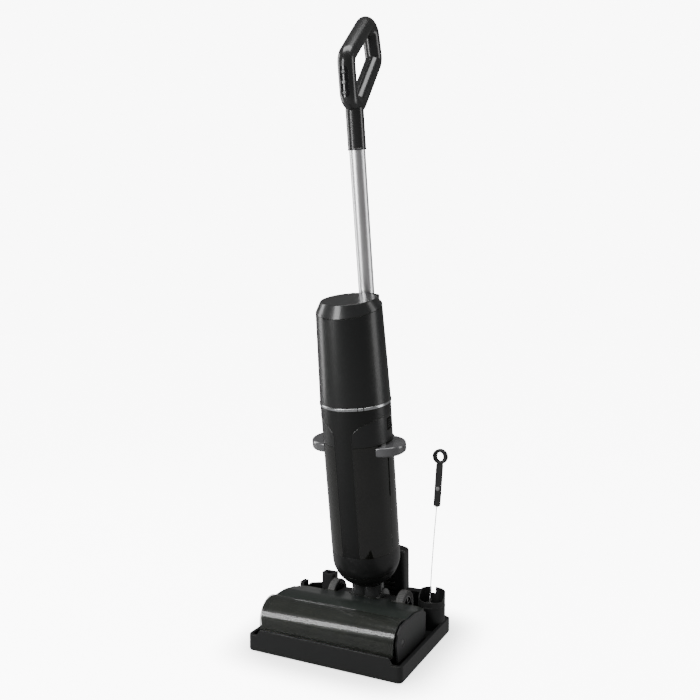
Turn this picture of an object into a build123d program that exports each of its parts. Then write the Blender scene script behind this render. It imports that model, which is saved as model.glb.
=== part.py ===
"""Wet dry floor scrubber parked on its cleaning dock.

Millimetres, +Z up, front of the machine towards -Y. The origin is on the floor, at the centre of the
object's box. The upright body leans forward about the wheel axle, so its pieces are drawn on planes that
follow that lean: "station" is the distance up the body's own axis from the axle.
"""

from build123d import *
from math import cos, radians, sin
import os

os.makedirs("parts", exist_ok=True)

# ---------------------------------------------------------------- driving sizes
running_gap = 0.4        # between faces of bodies that move past each other
seat_gap = 0.1           # between faces that only rest on each other
pin_gap = 0.08           # radial, round a pin that turns in its hole

# dock
dock_width = 295.0
dock_front_y = -145.0
dock_side_y = 88.0
dock_rear_y = 145.0
dock_rear_half = 62.0
floor_z = 18.0           # top of the tray floor
rim_z = 30.0
rim_wall = 6.0
lip_z = 41.0             # raised middle of the front wall
lip_half = 123.0
feet_height = 2.0
base_plate_thick = 2.0
tray_wall = 3.5
tower_half = 47.0
tower_depth = 33.0
tower_top_z = 139.0
tower_wall = 3.0
cup_radius = 25.0
cup_x = 121.3
cup_y = 63.5
cup_rear_z = 84.0
cup_front_z = 70.0
cup_wall = 2.2

# floor head
roller_y = -101.0
roller_z = 51.5
roller_radius = 31.2
roller_core_radius = 24.0
roller_length = 240.0
cover_length = 256.0
cover_radius = 35.5
cover_wall = 2.2
cover_z = 54.0
head_half = 128.0
head_rear_y = 12.0
wheel_radius = 31.0
wheel_width = 15.0
wheel_x = 70.5
hub_radius = 22.0
axle_radius = 4.0
axle_y = 52.0
axle_z = floor_z + wheel_radius + seat_gap

# neck and body
lean = 9.7               # forward lean of the parked body, degrees
neck_radius = 27.5
neck_half = 30.0
neck_top = 44.0          # station of the swivel plane
stem_radius = 16.0
stem_top = 62.0
body_radius = 63.6
shell_wall = 2.4
bowl_top = 118.0
window_top = 328.6
ring_bottom = 396.3
ring_height = 5.4
ring_radius = 65.0
housing_bottom_radius = 64.2
housing_top_radius = 59.6
housing_top = 568.0      # where the tilted seam of the cap crosses the axis
housing_tilt = 9.5       # the seam falls towards the front
cap_top = 584.0
cap_tilt = 3.0
cap_top_radius = 50.0
seam = 0.5               # visible joint line between casings
pillar_half = 17.0
hoop_station = 307.0
hoop_height = 18.0
hoop_edge = 4.5
lobe_radius = 38.0
lobe_offset = 53.0
spine_half = 21.0
spine_rear = 95.0
spine_top = 586.5        # at the cap; it falls towards the rear
spine_rear_top = 575.0
spine_wall = 3.0

# tube and handle
tube_radius = 14.4
tube_wall = 1.2
tube_offset = 76.6       # tube axis behind the body axis
tube_bottom = 500.0
tube_top = 880.0
sleeve_bottom = 837.0
sleeve_radius = 16.2
loop_radius = 15.6
loop_wall = 2.4
loop_points = [(57.2, 922.0), (56.0, 992.0), (160.0, 1066.0), (173.5, 995.0), (86.0, 912.0)]
loop_bends = (17.0, 22.0, 19.0, 18.0, 17.0)   # each wider than the bar's radius
key_radius = 3.4
key_stations = (933.0, 950.0, 967.0)

ring_top = ring_bottom + ring_height
tank_top = ring_bottom - running_gap
tank_bottom = bowl_top + running_gap
tank_radius = body_radius + 0.2

# ---------------------------------------------------------------- planes of the leaning body
lean_up = (0, -sin(radians(lean)), cos(radians(lean)))
lean_back = (0, cos(radians(lean)), sin(radians(lean)))
body = Plane(origin=(0, axle_y, axle_z), x_dir=(1, 0, 0), z_dir=lean_up)
upright = Plane(origin=body.origin, x_dir=(1, 0, 0), z_dir=-Vector(*lean_back))
mid = Plane(origin=body.origin, x_dir=lean_back, z_dir=(1, 0, 0))
body_axis = Axis(body.origin, lean_up)
tube_plane = Plane(origin=body.from_local_coords((0, tube_offset, 0)), x_dir=(1, 0, 0), z_dir=lean_up)


def across_at(x):
    """Plane normal to X at x: its own axes are Y and Z."""
    return Plane.YZ.offset(x)


def keep(piece, name):
    """Label a finished piece and write it to its own file."""
    piece.part.label = name
    export_step(piece.part, f"parts/{name}.step")
    return piece.part


def ring_profile(inner, outer, low, high, inner_top=None, outer_top=None):
    """Closed half section of a ring between two stations, in the upright plane."""
    with BuildSketch(upright) as section:
        with BuildLine():
            Polyline(
                (inner, low),
                (outer, low),
                (outer_top if outer_top is not None else outer, high),
                (inner_top if inner_top is not None else inner, high),
                close=True,
            )
        make_face()
    return section.sketch


# ---------------------------------------------------------------- dock
dock_half = dock_width / 2
tray_bottom = feet_height + base_plate_thick + seat_gap
corner_radius = cup_radius
front_corner = 9.0


def dock_outline(inset=0.0):
    """Plan outline of the dock, drawn in by inset."""
    with BuildSketch() as plan:
        with BuildLine():
            Polyline(
                (-dock_half, dock_front_y),
                (dock_half, dock_front_y),
                (dock_half, dock_side_y),
                (dock_rear_half, dock_rear_y),
                (-dock_rear_half, dock_rear_y),
                (-dock_half, dock_side_y),
                close=True,
            )
        make_face()
        corners = plan.vertices().sort_by(Axis.Y)
        fillet(corners[:2], radius=front_corner)
        fillet(corners[2:], radius=corner_radius)
        if inset:
            offset(amount=-inset)
    return plan.sketch


tower_y = dock_rear_y - tower_depth
pin_pad_y = 92.0
pin_x = 11.0
pin_height = 1.5
post_x = -103.0
post_y = 86.0
post_width = 29.0
post_depth = 22.0
post_corner = 6.0
post_height = 60.0
post_floor = 24.0
post_bore = 7.0
screw_x = 115.0
screw_y = 75.0
screw_radius = 1.6
screw_depth = 7.0
foot_x = 122.0
foot_front_y = -120.0
foot_rear_y = 45.0
foot_radius = 9.0

with BuildPart() as dock_tray:
    with BuildSketch(Plane.XY.offset(tray_bottom)):
        add(dock_outline())
    extrude(amount=rim_z - tray_bottom)
    with BuildSketch(Plane.XY.offset(floor_z)):
        add(dock_outline(rim_wall))
    extrude(amount=rim_z, mode=Mode.SUBTRACT)
    # raised front lip between the two low corners
    with BuildSketch(Plane.XZ.offset(-dock_front_y)):
        with BuildLine():
            Polyline(
                (-lip_half - 8, rim_z - 2),
                (-lip_half, lip_z),
                (lip_half, lip_z),
                (lip_half + 8, rim_z - 2),
                close=True,
            )
        make_face()
    extrude(amount=-4.5)
    # rear rim steps: corner stub and low wall at the left, shoulder at the right of the tower
    with BuildSketch(Plane.XY.offset(floor_z)):
        add(dock_outline())
        add(dock_outline(rim_wall), mode=Mode.SUBTRACT)
        with Locations((-dock_half, 95)):
            Rectangle(68, 60, mode=Mode.INTERSECT)
    extrude(amount=31)
    with BuildSketch(Plane.XY.offset(floor_z)):
        add(dock_outline())
        add(dock_outline(rim_wall + 4), mode=Mode.SUBTRACT)
        with Locations((-dock_half, 52)):
            Rectangle(18, 18, mode=Mode.INTERSECT)
    extrude(amount=47)
    with BuildSketch(Plane.XY.offset(floor_z)):
        with Locations((70, 103)):
            RectangleRounded(30, 16, 6)
    extrude(amount=48)
    # channel under the roller
    with BuildSketch(Plane.YZ):
        with Locations((roller_y, roller_z)):
            Circle(roller_radius + 1.6)
    extrude(amount=roller_length / 2 + 4, both=True, mode=Mode.SUBTRACT)
    # hollow underside
    with BuildSketch(Plane.XY.offset(tray_bottom)):
        add(dock_outline(tray_wall))
    extrude(amount=floor_z - tray_bottom - 4.5, mode=Mode.SUBTRACT)
    # stiffening ribs under the floor
    with BuildSketch(Plane.XY.offset(tray_bottom)):
        with GridLocations(62, 1, 4, 1):
            Rectangle(2.5, 2 * dock_side_y - 10)
    extrude(amount=floor_z - tray_bottom - 4.5)
    with BuildSketch(Plane.XY.offset(tray_bottom)):
        with GridLocations(2 * screw_x, 2 * screw_y, 2, 2):
            Circle(5)
    extrude(amount=floor_z - tray_bottom - 4.5)
    with BuildSketch(Plane.XY.offset(tray_bottom)):
        with GridLocations(2 * screw_x, 2 * screw_y, 2, 2):
            Circle(screw_radius + 0.05)
    extrude(amount=screw_depth, mode=Mode.SUBTRACT)
    # seat for the cup and the opening below the tower
    with BuildSketch(Plane.XY.offset(floor_z)):
        with Locations((cup_x, cup_y)):
            Circle(cup_radius + 0.02)
    extrude(amount=40, mode=Mode.SUBTRACT)
    with BuildSketch(Plane.XY.offset(floor_z)):
        with Locations((0, dock_rear_y - tower_depth / 2)):
            Rectangle(2 * tower_half + 2 * seat_gap, tower_depth + 2 * seat_gap)
    extrude(amount=20, mode=Mode.SUBTRACT)
    # hollow post for an accessory at the rear left
    with BuildSketch(Plane.XY.offset(floor_z)):
        with Locations((post_x, post_y)):
            RectangleRounded(post_width, post_depth, post_corner)
    extrude(amount=post_height)
    with BuildSketch(Plane.XY.offset(floor_z + post_floor)):
        with Locations((post_x, post_y)):
            Circle(post_bore)
    extrude(amount=post_height, mode=Mode.SUBTRACT)
keep(dock_tray, "dock_tray")

with BuildPart() as dock_base_plate:
    with BuildSketch(Plane.XY.offset(feet_height)):
        add(dock_outline(1.0))
        with GridLocations(2 * screw_x, 2 * screw_y, 2, 2):
            Circle(screw_radius + 0.1, mode=Mode.SUBTRACT)
    extrude(amount=base_plate_thick)
keep(dock_base_plate, "dock_base_plate")

with BuildPart() as dock_screws:
    with BuildSketch(Plane.XY.offset(feet_height - 0.9)):
        with GridLocations(2 * screw_x, 2 * screw_y, 2, 2):
            Circle(2 * screw_radius)
    extrude(amount=0.85)
    with BuildSketch(Plane.XY.offset(feet_height - 0.5)):
        with GridLocations(2 * screw_x, 2 * screw_y, 2, 2):
            Circle(screw_radius)
    extrude(amount=base_plate_thick + screw_depth)
keep(dock_screws, "dock_screws")

with BuildPart() as dock_feet:
    with BuildSketch():
        with Locations((-foot_x, foot_front_y), (foot_x, foot_front_y), (-foot_x, foot_rear_y), (foot_x, foot_rear_y)):
            Circle(foot_radius)
        with Locations((0, dock_rear_y - 17)):
            SlotOverall(60, 12)
    extrude(amount=feet_height)
keep(dock_feet, "dock_feet")


def tower_sketch(inset=0.0):
    """Front outline of the tower: tapering sides and a domed top."""
    with BuildSketch() as front:
        with BuildLine():
            Line((-tower_half + inset, floor_z), (tower_half - inset, floor_z))
            Line((tower_half - inset, floor_z), (tower_half - 2 - inset, tower_top_z - 5 - inset))
            ThreePointArc(
                (tower_half - 2 - inset, tower_top_z - 5 - inset),
                (0, tower_top_z - inset),
                (-tower_half + 2 + inset, tower_top_z - 5 - inset),
            )
            Line((-tower_half + 2 + inset, tower_top_z - 5 - inset), (-tower_half + inset, floor_z))
        make_face()
        fillet(front.vertices().group_by(Axis.Y)[-1], radius=7)
    return front.sketch


with BuildPart() as charging_tower:
    with BuildSketch(Plane.XZ.offset(-dock_rear_y)):
        add(tower_sketch())
    extrude(amount=tower_depth)
    fillet(charging_tower.edges().filter_by(Axis.Z, 2).group_by(Axis.Y)[0], radius=9)
    fillet(charging_tower.edges().filter_by(Axis.Z, 2).group_by(Axis.Y)[-1], radius=9)
    with BuildSketch(Plane.XZ.offset(-dock_rear_y + tower_wall)):
        add(tower_sketch(tower_wall + 8))
    extrude(amount=tower_depth - 2 * tower_wall, mode=Mode.SUBTRACT)
    # air grille slots in the front face
    with BuildSketch(Plane.XZ.offset(-tower_y)):
        with Locations((0, 70)):
            with GridLocations(1, 9, 1, 5):
                SlotOverall(52, 3.4)
    extrude(amount=-tower_wall - 1, mode=Mode.SUBTRACT)
    # jack hole at the back
    with BuildSketch(Plane.XZ.offset(-dock_rear_y)):
        with Locations((0, 38)):
            Circle(6.5)
    extrude(amount=tower_wall + 1, mode=Mode.SUBTRACT)
keep(charging_tower, "charging_tower")

with BuildPart() as power_inlet:
    with BuildSketch(Plane.XZ.offset(-dock_rear_y + 0.3)):
        with Locations((0, 38)):
            Circle(6.4)
            Circle(3.0, mode=Mode.SUBTRACT)
    extrude(amount=12)
    with BuildSketch(Plane.XZ.offset(-dock_rear_y + 10)):
        with Locations((0, 38)):
            Circle(1.2)
            Circle(6.4)
    extrude(amount=2.3)
keep(power_inlet, "power_inlet")

with BuildPart() as charge_pins:
    for x in (-pin_x, pin_x):
        with Locations((x, pin_pad_y, floor_z)):
            Box(7, 7, 1.0, align=(Align.CENTER, Align.CENTER, Align.MIN))
            Cylinder(1.8, pin_height, align=(Align.CENTER, Align.CENTER, Align.MIN))
keep(charge_pins, "charge_pins")

with BuildPart() as brush_cup:
    with Locations((cup_x, cup_y, floor_z)):
        Cylinder(cup_radius, cup_rear_z - floor_z, align=(Align.CENTER, Align.CENTER, Align.MIN))
    with Locations((cup_x, cup_y, floor_z + 3)):
        Cylinder(
            cup_radius - cup_wall,
            cup_rear_z,
            align=(Align.CENTER, Align.CENTER, Align.MIN),
            mode=Mode.SUBTRACT,
        )
    # rim falls towards the front, with a slot at the back left
    with BuildSketch(across_at(cup_x - cup_radius - 1)):
        with BuildLine():
            Polyline(
                (cup_y - cup_radius - 1, cup_rear_z + 1),
                (cup_y - cup_radius - 1, cup_front_z),
                (cup_y - 6, cup_front_z),
                (cup_y + 8, cup_rear_z),
                (cup_y + 8, cup_rear_z + 1),
                close=True,
            )
        make_face()
    extrude(amount=2 * cup_radius + 2, mode=Mode.SUBTRACT)
    with Locations((cup_x - 5, cup_y + cup_radius - 2, cup_rear_z)):
        Box(8, 12, 24, mode=Mode.SUBTRACT)
keep(brush_cup, "brush_cup")

# ---------------------------------------------------------------- cleaning brush, leaning in the cup
brush_lean = 3.4
brush_foot = 26.0        # height of the brush head's lower end above the floor
wire_low = 36.0          # these run up the brush's own leaning axis from its foot
wire_radius = 1.0
handle_low = 218.0
handle_high = 300.0
eyelet_at = 312.0
handle_width = 12.0
lean_right = (sin(radians(brush_lean)), 0, cos(radians(brush_lean)))
brush = Plane(origin=(cup_x - 6, cup_y + 2, brush_foot), x_dir=(0, 1, 0), z_dir=lean_right)
brush_side = Plane(origin=brush.origin, x_dir=-Vector(*lean_right).cross(Vector(0, 1, 0)), z_dir=(0, -1, 0))

with BuildPart() as brush_handle:
    with BuildSketch(brush_side):
        with Locations((0, (handle_low + handle_high) / 2)):
            RectangleRounded(handle_width, handle_high - handle_low, 4)
        with Locations((0, eyelet_at)):
            Circle(14)
        with Locations((0, handle_high)):
            Rectangle(handle_width - 2, 14)
        with Locations((0, eyelet_at)):
            Ellipse(6.5, 8, mode=Mode.SUBTRACT)
    extrude(amount=3, both=True)
    with BuildSketch(brush.offset(handle_low - 1)):
        Circle(wire_radius + 0.02)
    extrude(amount=22, mode=Mode.SUBTRACT)
keep(brush_handle, "brush_handle")

with BuildPart() as brush_wire:
    with BuildSketch(brush.offset(wire_low)):
        Circle(wire_radius)
    extrude(amount=handle_low + 20 - wire_low)
keep(brush_wire, "brush_wire")

with BuildPart() as brush_bristles:
    with BuildSketch(brush):
        Circle(12)
    extrude(amount=33)
    fillet(brush_bristles.edges(), radius=4)
    with BuildSketch(brush.offset(32)):
        Circle(4)
    extrude(amount=11)
    with BuildSketch(brush.offset(wire_low - 0.05)):
        Circle(wire_radius + 0.02)
    extrude(amount=12, mode=Mode.SUBTRACT)
keep(brush_bristles, "brush_bristles")

# ---------------------------------------------------------------- floor head
chassis_z = floor_z + 2.6
cheek_in = neck_half + 0.6
cheek_out = wheel_x - wheel_width / 2 - 1.0
cover_back_y = roller_y + 22.0
deck_lip_y = cover_back_y + running_gap + 0.6
deck_front_y = roller_y + 35.0
motor_y = -30.0
motor_z = 44.0
motor_radius = 15.0
stub_radius = 6.0
side_in = cover_length / 2 + running_gap
side_out = side_in + 3.0
belt_x = roller_length / 2 + 3.0
belt_width = 4.0
pulley_big = 12.0
pulley_small = 7.0
belt_thick = 1.4

with BuildPart() as head_chassis:
    with BuildSketch(Plane.XY.offset(chassis_z)):
        with BuildLine():
            Polyline(
                (-side_out, deck_front_y),
                (side_out, deck_front_y),
                (side_out, head_rear_y - 4),
                (cheek_out, 30),
                (cheek_out, 92),
                (-cheek_out, 92),
                (-cheek_out, 30),
                (-side_out, head_rear_y - 4),
                close=True,
            )
        make_face()
    extrude(amount=3)
    # side plates that carry the roller ends
    for side in (-1, 1):
        with BuildSketch(across_at(side * side_in)):
            with BuildLine():
                Polyline(
                    (deck_front_y - 1, chassis_z),
                    (roller_y - 20, chassis_z + 4),
                    (roller_y - 26, roller_z + 4),
                    (roller_y - 21, cover_z + 20),
                    (roller_y - 9, cover_z + 28.5),
                    (roller_y + 8, cover_z + 30.5),
                    (deck_lip_y + 2, 82),
                    (deck_front_y + 20, 82),
                    (head_rear_y - 20, 75.5),
                    (head_rear_y - 6, 66),
                    (head_rear_y - 6, chassis_z),
                    close=True,
                )
            make_face()
            with Locations((roller_y, roller_z)):
                Circle(stub_radius + pin_gap, mode=Mode.SUBTRACT)
        extrude(amount=side * (side_out - side_in))
        # upright cheeks that hold the axle
        with BuildSketch(across_at(side * cheek_in)):
            with BuildLine():
                Polyline(
                    (26, chassis_z + 1),
                    (90, chassis_z + 1),
                    (90, 34),
                    (axle_y + 16, axle_z + 12),
                    (axle_y - 14, axle_z + 14),
                    (26, 48),
                    close=True,
                )
            make_face()
            with Locations((axle_y, axle_z)):
                Circle(axle_radius + 0.05, mode=Mode.SUBTRACT)
        extrude(amount=side * (cheek_out - cheek_in))
    # clearance under the turning neck
    with Locations((0, axle_y, axle_z)):
        Cylinder(
            neck_radius + 1.2,
            2 * cheek_in,
            rotation=(0, 90, 0),
            mode=Mode.SUBTRACT,
        )
keep(head_chassis, "head_chassis")

deck_base = chassis_z + 3 + seat_gap
deck_lip_z = 82.3
contact_top = chassis_z - 0.02
with BuildPart() as head_contacts:
    for x in (-pin_x, pin_x):
        with Locations((x, pin_pad_y - 4, contact_top - 0.6)):
            Box(8, 12, 0.6, align=(Align.CENTER, Align.CENTER, Align.MIN))
keep(head_contacts, "head_contacts")

with BuildPart() as head_cover:
    # deck profile seen from the side, from the roller cover back to the neck
    with BuildSketch(across_at(-head_half)):
        with BuildLine():
            Line((deck_lip_y, deck_base), (deck_lip_y, deck_lip_z))
            ThreePointArc(
                (deck_lip_y, deck_lip_z),
                (deck_lip_y + 20, deck_lip_z + 2.2),
                (deck_lip_y + 44, deck_lip_z - 0.8),
            )
            Line((deck_lip_y + 44, deck_lip_z - 0.8), (head_rear_y + 22, 66))
            Line((head_rear_y + 22, 66), (head_rear_y + 22, deck_base))
            Line((head_rear_y + 22, deck_base), (deck_lip_y, deck_base))
        make_face()
    extrude(amount=2 * head_half)
    # the lip reaches forward over the roller
    with BuildSketch(across_at(-head_half)):
        with Locations((roller_y, roller_z)):
            Circle(roller_radius + 1.6)
        with Locations((deck_front_y - 20, deck_base - 1)):
            Rectangle(40, roller_z + 8 - deck_base + 1, align=(Align.CENTER, Align.MIN))
    extrude(amount=2 * head_half, mode=Mode.SUBTRACT)
    # plan outline: rear corners cut back ahead of the wheels
    with BuildSketch(Plane.XY.offset(chassis_z)):
        with BuildLine():
            Polyline(
                (-head_half, deck_lip_y - 1),
                (head_half, deck_lip_y - 1),
                (head_half, head_rear_y - 8),
                (head_half - 12, head_rear_y + 3),
                (cheek_out - 4, head_rear_y + 7),
                (cheek_out - 12, head_rear_y + 21),
                (-cheek_out + 12, head_rear_y + 21),
                (-cheek_out + 4, head_rear_y + 7),
                (-head_half + 12, head_rear_y + 3),
                (-head_half, head_rear_y - 8),
                close=True,
            )
        make_face()
    extrude(amount=90, mode=Mode.INTERSECT)
    # hollow inside
    with BuildSketch(across_at(-head_half + 2.5)):
        with BuildLine():
            Polyline(
                (deck_front_y + 2.5, chassis_z),
                (deck_front_y + 2.5, 80),
                (deck_front_y + 34, 77.5),
                (head_rear_y - 8, 66),
                (head_rear_y - 8, chassis_z),
                close=True,
            )
        make_face()
    extrude(amount=2 * head_half - 5, mode=Mode.SUBTRACT)
    # scallop behind for the neck
    with Locations((0, axle_y, axle_z)):
        Cylinder(neck_radius + 1.2, 2 * cheek_in + 1, rotation=(0, 90, 0), mode=Mode.SUBTRACT)
    with BuildSketch(body.offset(8)):
        with Locations((0, 0)):
            RectangleRounded(2 * cheek_in + 2, 2 * neck_radius + 1.5, 8)
    extrude(amount=50, mode=Mode.SUBTRACT)
    # openings for the belt and the suction duct
    with BuildSketch(across_at(belt_x - belt_width / 2 - 0.6)):
        with Locations((deck_front_y - 1, roller_z - 4)):
            Rectangle(14, 40)
    extrude(amount=belt_width + 1.0, mode=Mode.SUBTRACT)
    with BuildSketch(Plane.XZ.offset(-head_rear_y - 40)):
        with Locations((0, 44)):
            Rectangle(31, 27)
    extrude(amount=40 + head_rear_y - deck_front_y + 5, mode=Mode.SUBTRACT)
    # room for the upright cheeks of the chassis
    with BuildSketch(Plane.XY.offset(chassis_z)):
        with Locations((0, 56)):
            Rectangle(2 * cheek_out + 1, 62)
    extrude(amount=axle_z + 15 - chassis_z, mode=Mode.SUBTRACT)
keep(head_cover, "head_cover")

slot_half = 62.0
slot_x = -22.0
slot_width = 15.0
slot_y = roller_y + 11.0
skirt_z = 40.0
cover_inner = cover_radius - cover_wall


def cover_section(outer):
    """Side outline of the roller cover's arch with its upright front skirt."""
    with BuildSketch() as arch:
        with Locations((roller_y, cover_z)):
            Circle(outer)
        with BuildLine():
            Polyline(
                (roller_y - outer, cover_z),
                (cover_back_y, cover_z),
                (cover_back_y, cover_z + outer + 1),
                (roller_y - outer, cover_z + outer + 1),
                close=True,
            )
        make_face(mode=Mode.INTERSECT)
        with BuildLine():
            Polyline(
                (roller_y - outer, skirt_z),
                (roller_y, skirt_z),
                (roller_y, cover_z),
                (roller_y - outer, cover_z),
                close=True,
            )
        make_face()
    return arch.sketch


with BuildPart() as roller_cover:
    with BuildSketch(across_at(-cover_length / 2)):
        add(cover_section(cover_radius))
        add(cover_section(cover_inner), mode=Mode.SUBTRACT)
        with Locations((roller_y + 20, skirt_z + 9)):
            Rectangle(70, 26, mode=Mode.SUBTRACT)
    extrude(amount=cover_length)
    # grip opening, closed from inside by the grip tray
    with BuildSketch(Plane.XY.offset(cover_z)):
        with Locations((slot_x, slot_y)):
            SlotOverall(2 * slot_half, slot_width)
    extrude(amount=60, mode=Mode.SUBTRACT)
keep(roller_cover, "roller_cover")

end_cap_z = roller_z + pulley_big + belt_thick + 1.5
# grip tray under the opening, and the two dark end pieces
with BuildPart() as cover_inserts:
    with BuildSketch(across_at(slot_x - slot_half - 4)):
        with Locations((roller_y, cover_z)):
            Circle(cover_inner - 0.05)
            Circle(cover_inner - 0.75, mode=Mode.SUBTRACT)
        with Locations((slot_y + 1, cover_z + 30)):
            Rectangle(slot_width + 7, 22, mode=Mode.INTERSECT)
    extrude(amount=2 * slot_half + 8)
    for side in (-1, 1):
        with BuildSketch(across_at(side * (cover_length / 2 - 0.4))):
            with Locations((roller_y, cover_z)):
                Circle(cover_inner - 0.05)
            with Locations((cover_back_y, end_cap_z)):
                Rectangle(90, 40, align=(Align.MAX, Align.MIN), mode=Mode.INTERSECT)
        extrude(amount=-side * 2.4)
keep(cover_inserts, "cover_inserts")

with BuildPart() as roller_core:
    with BuildSketch(across_at(-roller_length / 2)):
        with Locations((roller_y, roller_z)):
            Circle(roller_core_radius)
            Circle(roller_core_radius - 2, mode=Mode.SUBTRACT)
    extrude(amount=roller_length)
keep(roller_core, "roller_core")

with BuildPart() as roller_nap:
    with BuildSketch(across_at(-roller_length / 2)):
        with Locations((roller_y, roller_z)):
            Circle(roller_radius)
            Circle(roller_core_radius + 0.02, mode=Mode.SUBTRACT)
    extrude(amount=roller_length)
keep(roller_nap, "roller_nap")

plug_radius = roller_core_radius - 2.0 - 0.03
with BuildPart() as roller_idle_cap:
    with BuildSketch(across_at(-roller_length / 2 - 1.5)):
        with Locations((roller_y, roller_z)):
            Circle(roller_core_radius)
    extrude(amount=1.47)
    with BuildSketch(across_at(-roller_length / 2 - 1.0)):
        with Locations((roller_y, roller_z)):
            Circle(plug_radius)
    extrude(amount=13)
    with BuildSketch(across_at(-roller_length / 2)):
        with Locations((roller_y, roller_z)):
            Circle(stub_radius)
    extrude(amount=-(side_out - roller_length / 2 - 0.3))
keep(roller_idle_cap, "roller_idle_cap")

with BuildPart() as roller_drive_hub:
    with BuildSketch(across_at(roller_length / 2 - 12)):
        with Locations((roller_y, roller_z)):
            Circle(plug_radius)
    extrude(amount=12.5)
    with BuildSketch(across_at(roller_length / 2 - 12)):
        with Locations((roller_y, roller_z)):
            Circle(stub_radius)
    extrude(amount=12 + side_out - roller_length / 2 - 0.3)
    with BuildSketch(across_at(belt_x - belt_width / 2)):
        with Locations((roller_y, roller_z)):
            Circle(pulley_big)
    extrude(amount=belt_width)
keep(roller_drive_hub, "roller_drive_hub")

with BuildPart() as scraper:
    with BuildSketch(across_at(-roller_length / 2)):
        with BuildLine():
            Polyline(
                (roller_y + roller_radius + running_gap, roller_z - 1),
                (deck_front_y - seat_gap, roller_z - 6),
                (deck_front_y - seat_gap, roller_z + 6),
                (roller_y + roller_radius + running_gap, roller_z + 1),
                close=True,
            )
        make_face()
    extrude(amount=roller_length)
keep(scraper, "scraper")

with BuildPart() as roller_motor:
    with BuildSketch(across_at(40)):
        with Locations((motor_y, motor_z)):
            Circle(motor_radius)
            Circle(3 + pin_gap, mode=Mode.SUBTRACT)
    extrude(amount=72)
keep(roller_motor, "roller_motor")

with BuildPart() as motor_pulley:
    with BuildSketch(across_at(44)):
        with Locations((motor_y, motor_z)):
            Circle(3)
    extrude(amount=belt_x + belt_width / 2 - 44)
    with BuildSketch(across_at(belt_x - belt_width / 2)):
        with Locations((motor_y, motor_z)):
            Circle(pulley_small)
    extrude(amount=belt_width)
keep(motor_pulley, "motor_pulley")

with BuildPart() as drive_belt:
    with BuildSketch(across_at(belt_x - belt_width / 2 + 0.4)):
        with Locations((roller_y, roller_z)):
            Circle(pulley_big + 0.3 + belt_thick)
        with Locations((motor_y, motor_z)):
            Circle(pulley_small + 0.3 + belt_thick)
        make_hull()
        with BuildSketch(mode=Mode.PRIVATE) as belt_inside:
            with Locations((roller_y, roller_z)):
                Circle(pulley_big + 0.3)
            with Locations((motor_y, motor_z)):
                Circle(pulley_small + 0.3)
            make_hull()
        add(belt_inside.sketch, mode=Mode.SUBTRACT)
    extrude(amount=belt_width - 0.8)
keep(drive_belt, "drive_belt")

with BuildPart() as suction_duct:
    with BuildSketch(Plane.XZ.offset(-head_rear_y - 8)):
        with Locations((0, 44)):
            RectangleRounded(30, 26, 5)
            RectangleRounded(26, 22, 4, mode=Mode.SUBTRACT)
    extrude(amount=head_rear_y + 8 - deck_front_y - 3)
keep(suction_duct, "suction_duct")

# ---------------------------------------------------------------- wheels and axle stubs
axle_in = 12.5
axle_out = wheel_x + wheel_width / 2 + 0.4


def wheel(side, name):
    """One rear wheel: soft tyre and dished hub, on the given side."""
    inner_face = side * (wheel_x - wheel_width / 2)
    with BuildPart() as tyre:
        with BuildSketch(across_at(inner_face)):
            with Locations((axle_y, axle_z)):
                Circle(wheel_radius)
                Circle(hub_radius, mode=Mode.SUBTRACT)
        extrude(amount=side * wheel_width)
        fillet(tyre.edges().filter_by(GeomType.CIRCLE).filter_by(lambda e: e.radius > hub_radius + 1), radius=2)
    keep(tyre, f"{name}_tyre")
    with BuildPart() as hub:
        with BuildSketch(across_at(inner_face + side * 0.5)):
            with Locations((axle_y, axle_z)):
                Circle(hub_radius - 0.02)
                Circle(axle_radius + pin_gap, mode=Mode.SUBTRACT)
        extrude(amount=side * (wheel_width - 1))
        with BuildSketch(across_at(inner_face + side * (wheel_width - 0.5))):
            with Locations((axle_y, axle_z)):
                Circle(hub_radius - 3)
                Circle(axle_radius + 4, mode=Mode.SUBTRACT)
        extrude(amount=-side * 2.5, mode=Mode.SUBTRACT)
    keep(hub, f"{name}_hub")


wheel(-1, "left_wheel")
wheel(1, "right_wheel")

with BuildPart() as wheel_axles:
    for side in (-1, 1):
        with BuildSketch(across_at(side * axle_in)):
            with Locations((axle_y, axle_z)):
                Circle(axle_radius)
        extrude(amount=side * (axle_out - axle_in))
keep(wheel_axles, "wheel_axles")

# ---------------------------------------------------------------- neck
lobe_x = 12.4
neck_lobe_radius = 17.0
hose_radius = 10.4

with BuildPart() as neck_yoke:
    with BuildSketch(across_at(-neck_half)):
        with Locations((axle_y, axle_z)):
            Circle(neck_radius)
    extrude(amount=2 * neck_half)
    with BuildSketch(body):
        with Locations((-lobe_x, -7), (lobe_x, -7)):
            Circle(neck_lobe_radius)
        with Locations((0, 4)):
            RectangleRounded(2 * neck_half - 8, 38, 12)
    extrude(amount=neck_top)
    with BuildSketch(body.offset(neck_top - 1)):
        Circle(stem_radius)
    extrude(amount=stem_top - neck_top + 1)
    # passage for the waste water, from the open underside of the barrel
    with BuildSketch(body.offset(-neck_radius - 1)):
        Circle(hose_radius + 0.1)
    extrude(amount=neck_radius + stem_top + 2, mode=Mode.SUBTRACT)
    # bores for the two axle stubs
    with BuildSketch(across_at(-neck_half - 1)):
        with Locations((axle_y, axle_z)):
            Circle(axle_radius + pin_gap)
    extrude(amount=2 * neck_half + 2, mode=Mode.SUBTRACT)
keep(neck_yoke, "neck_yoke")

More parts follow.
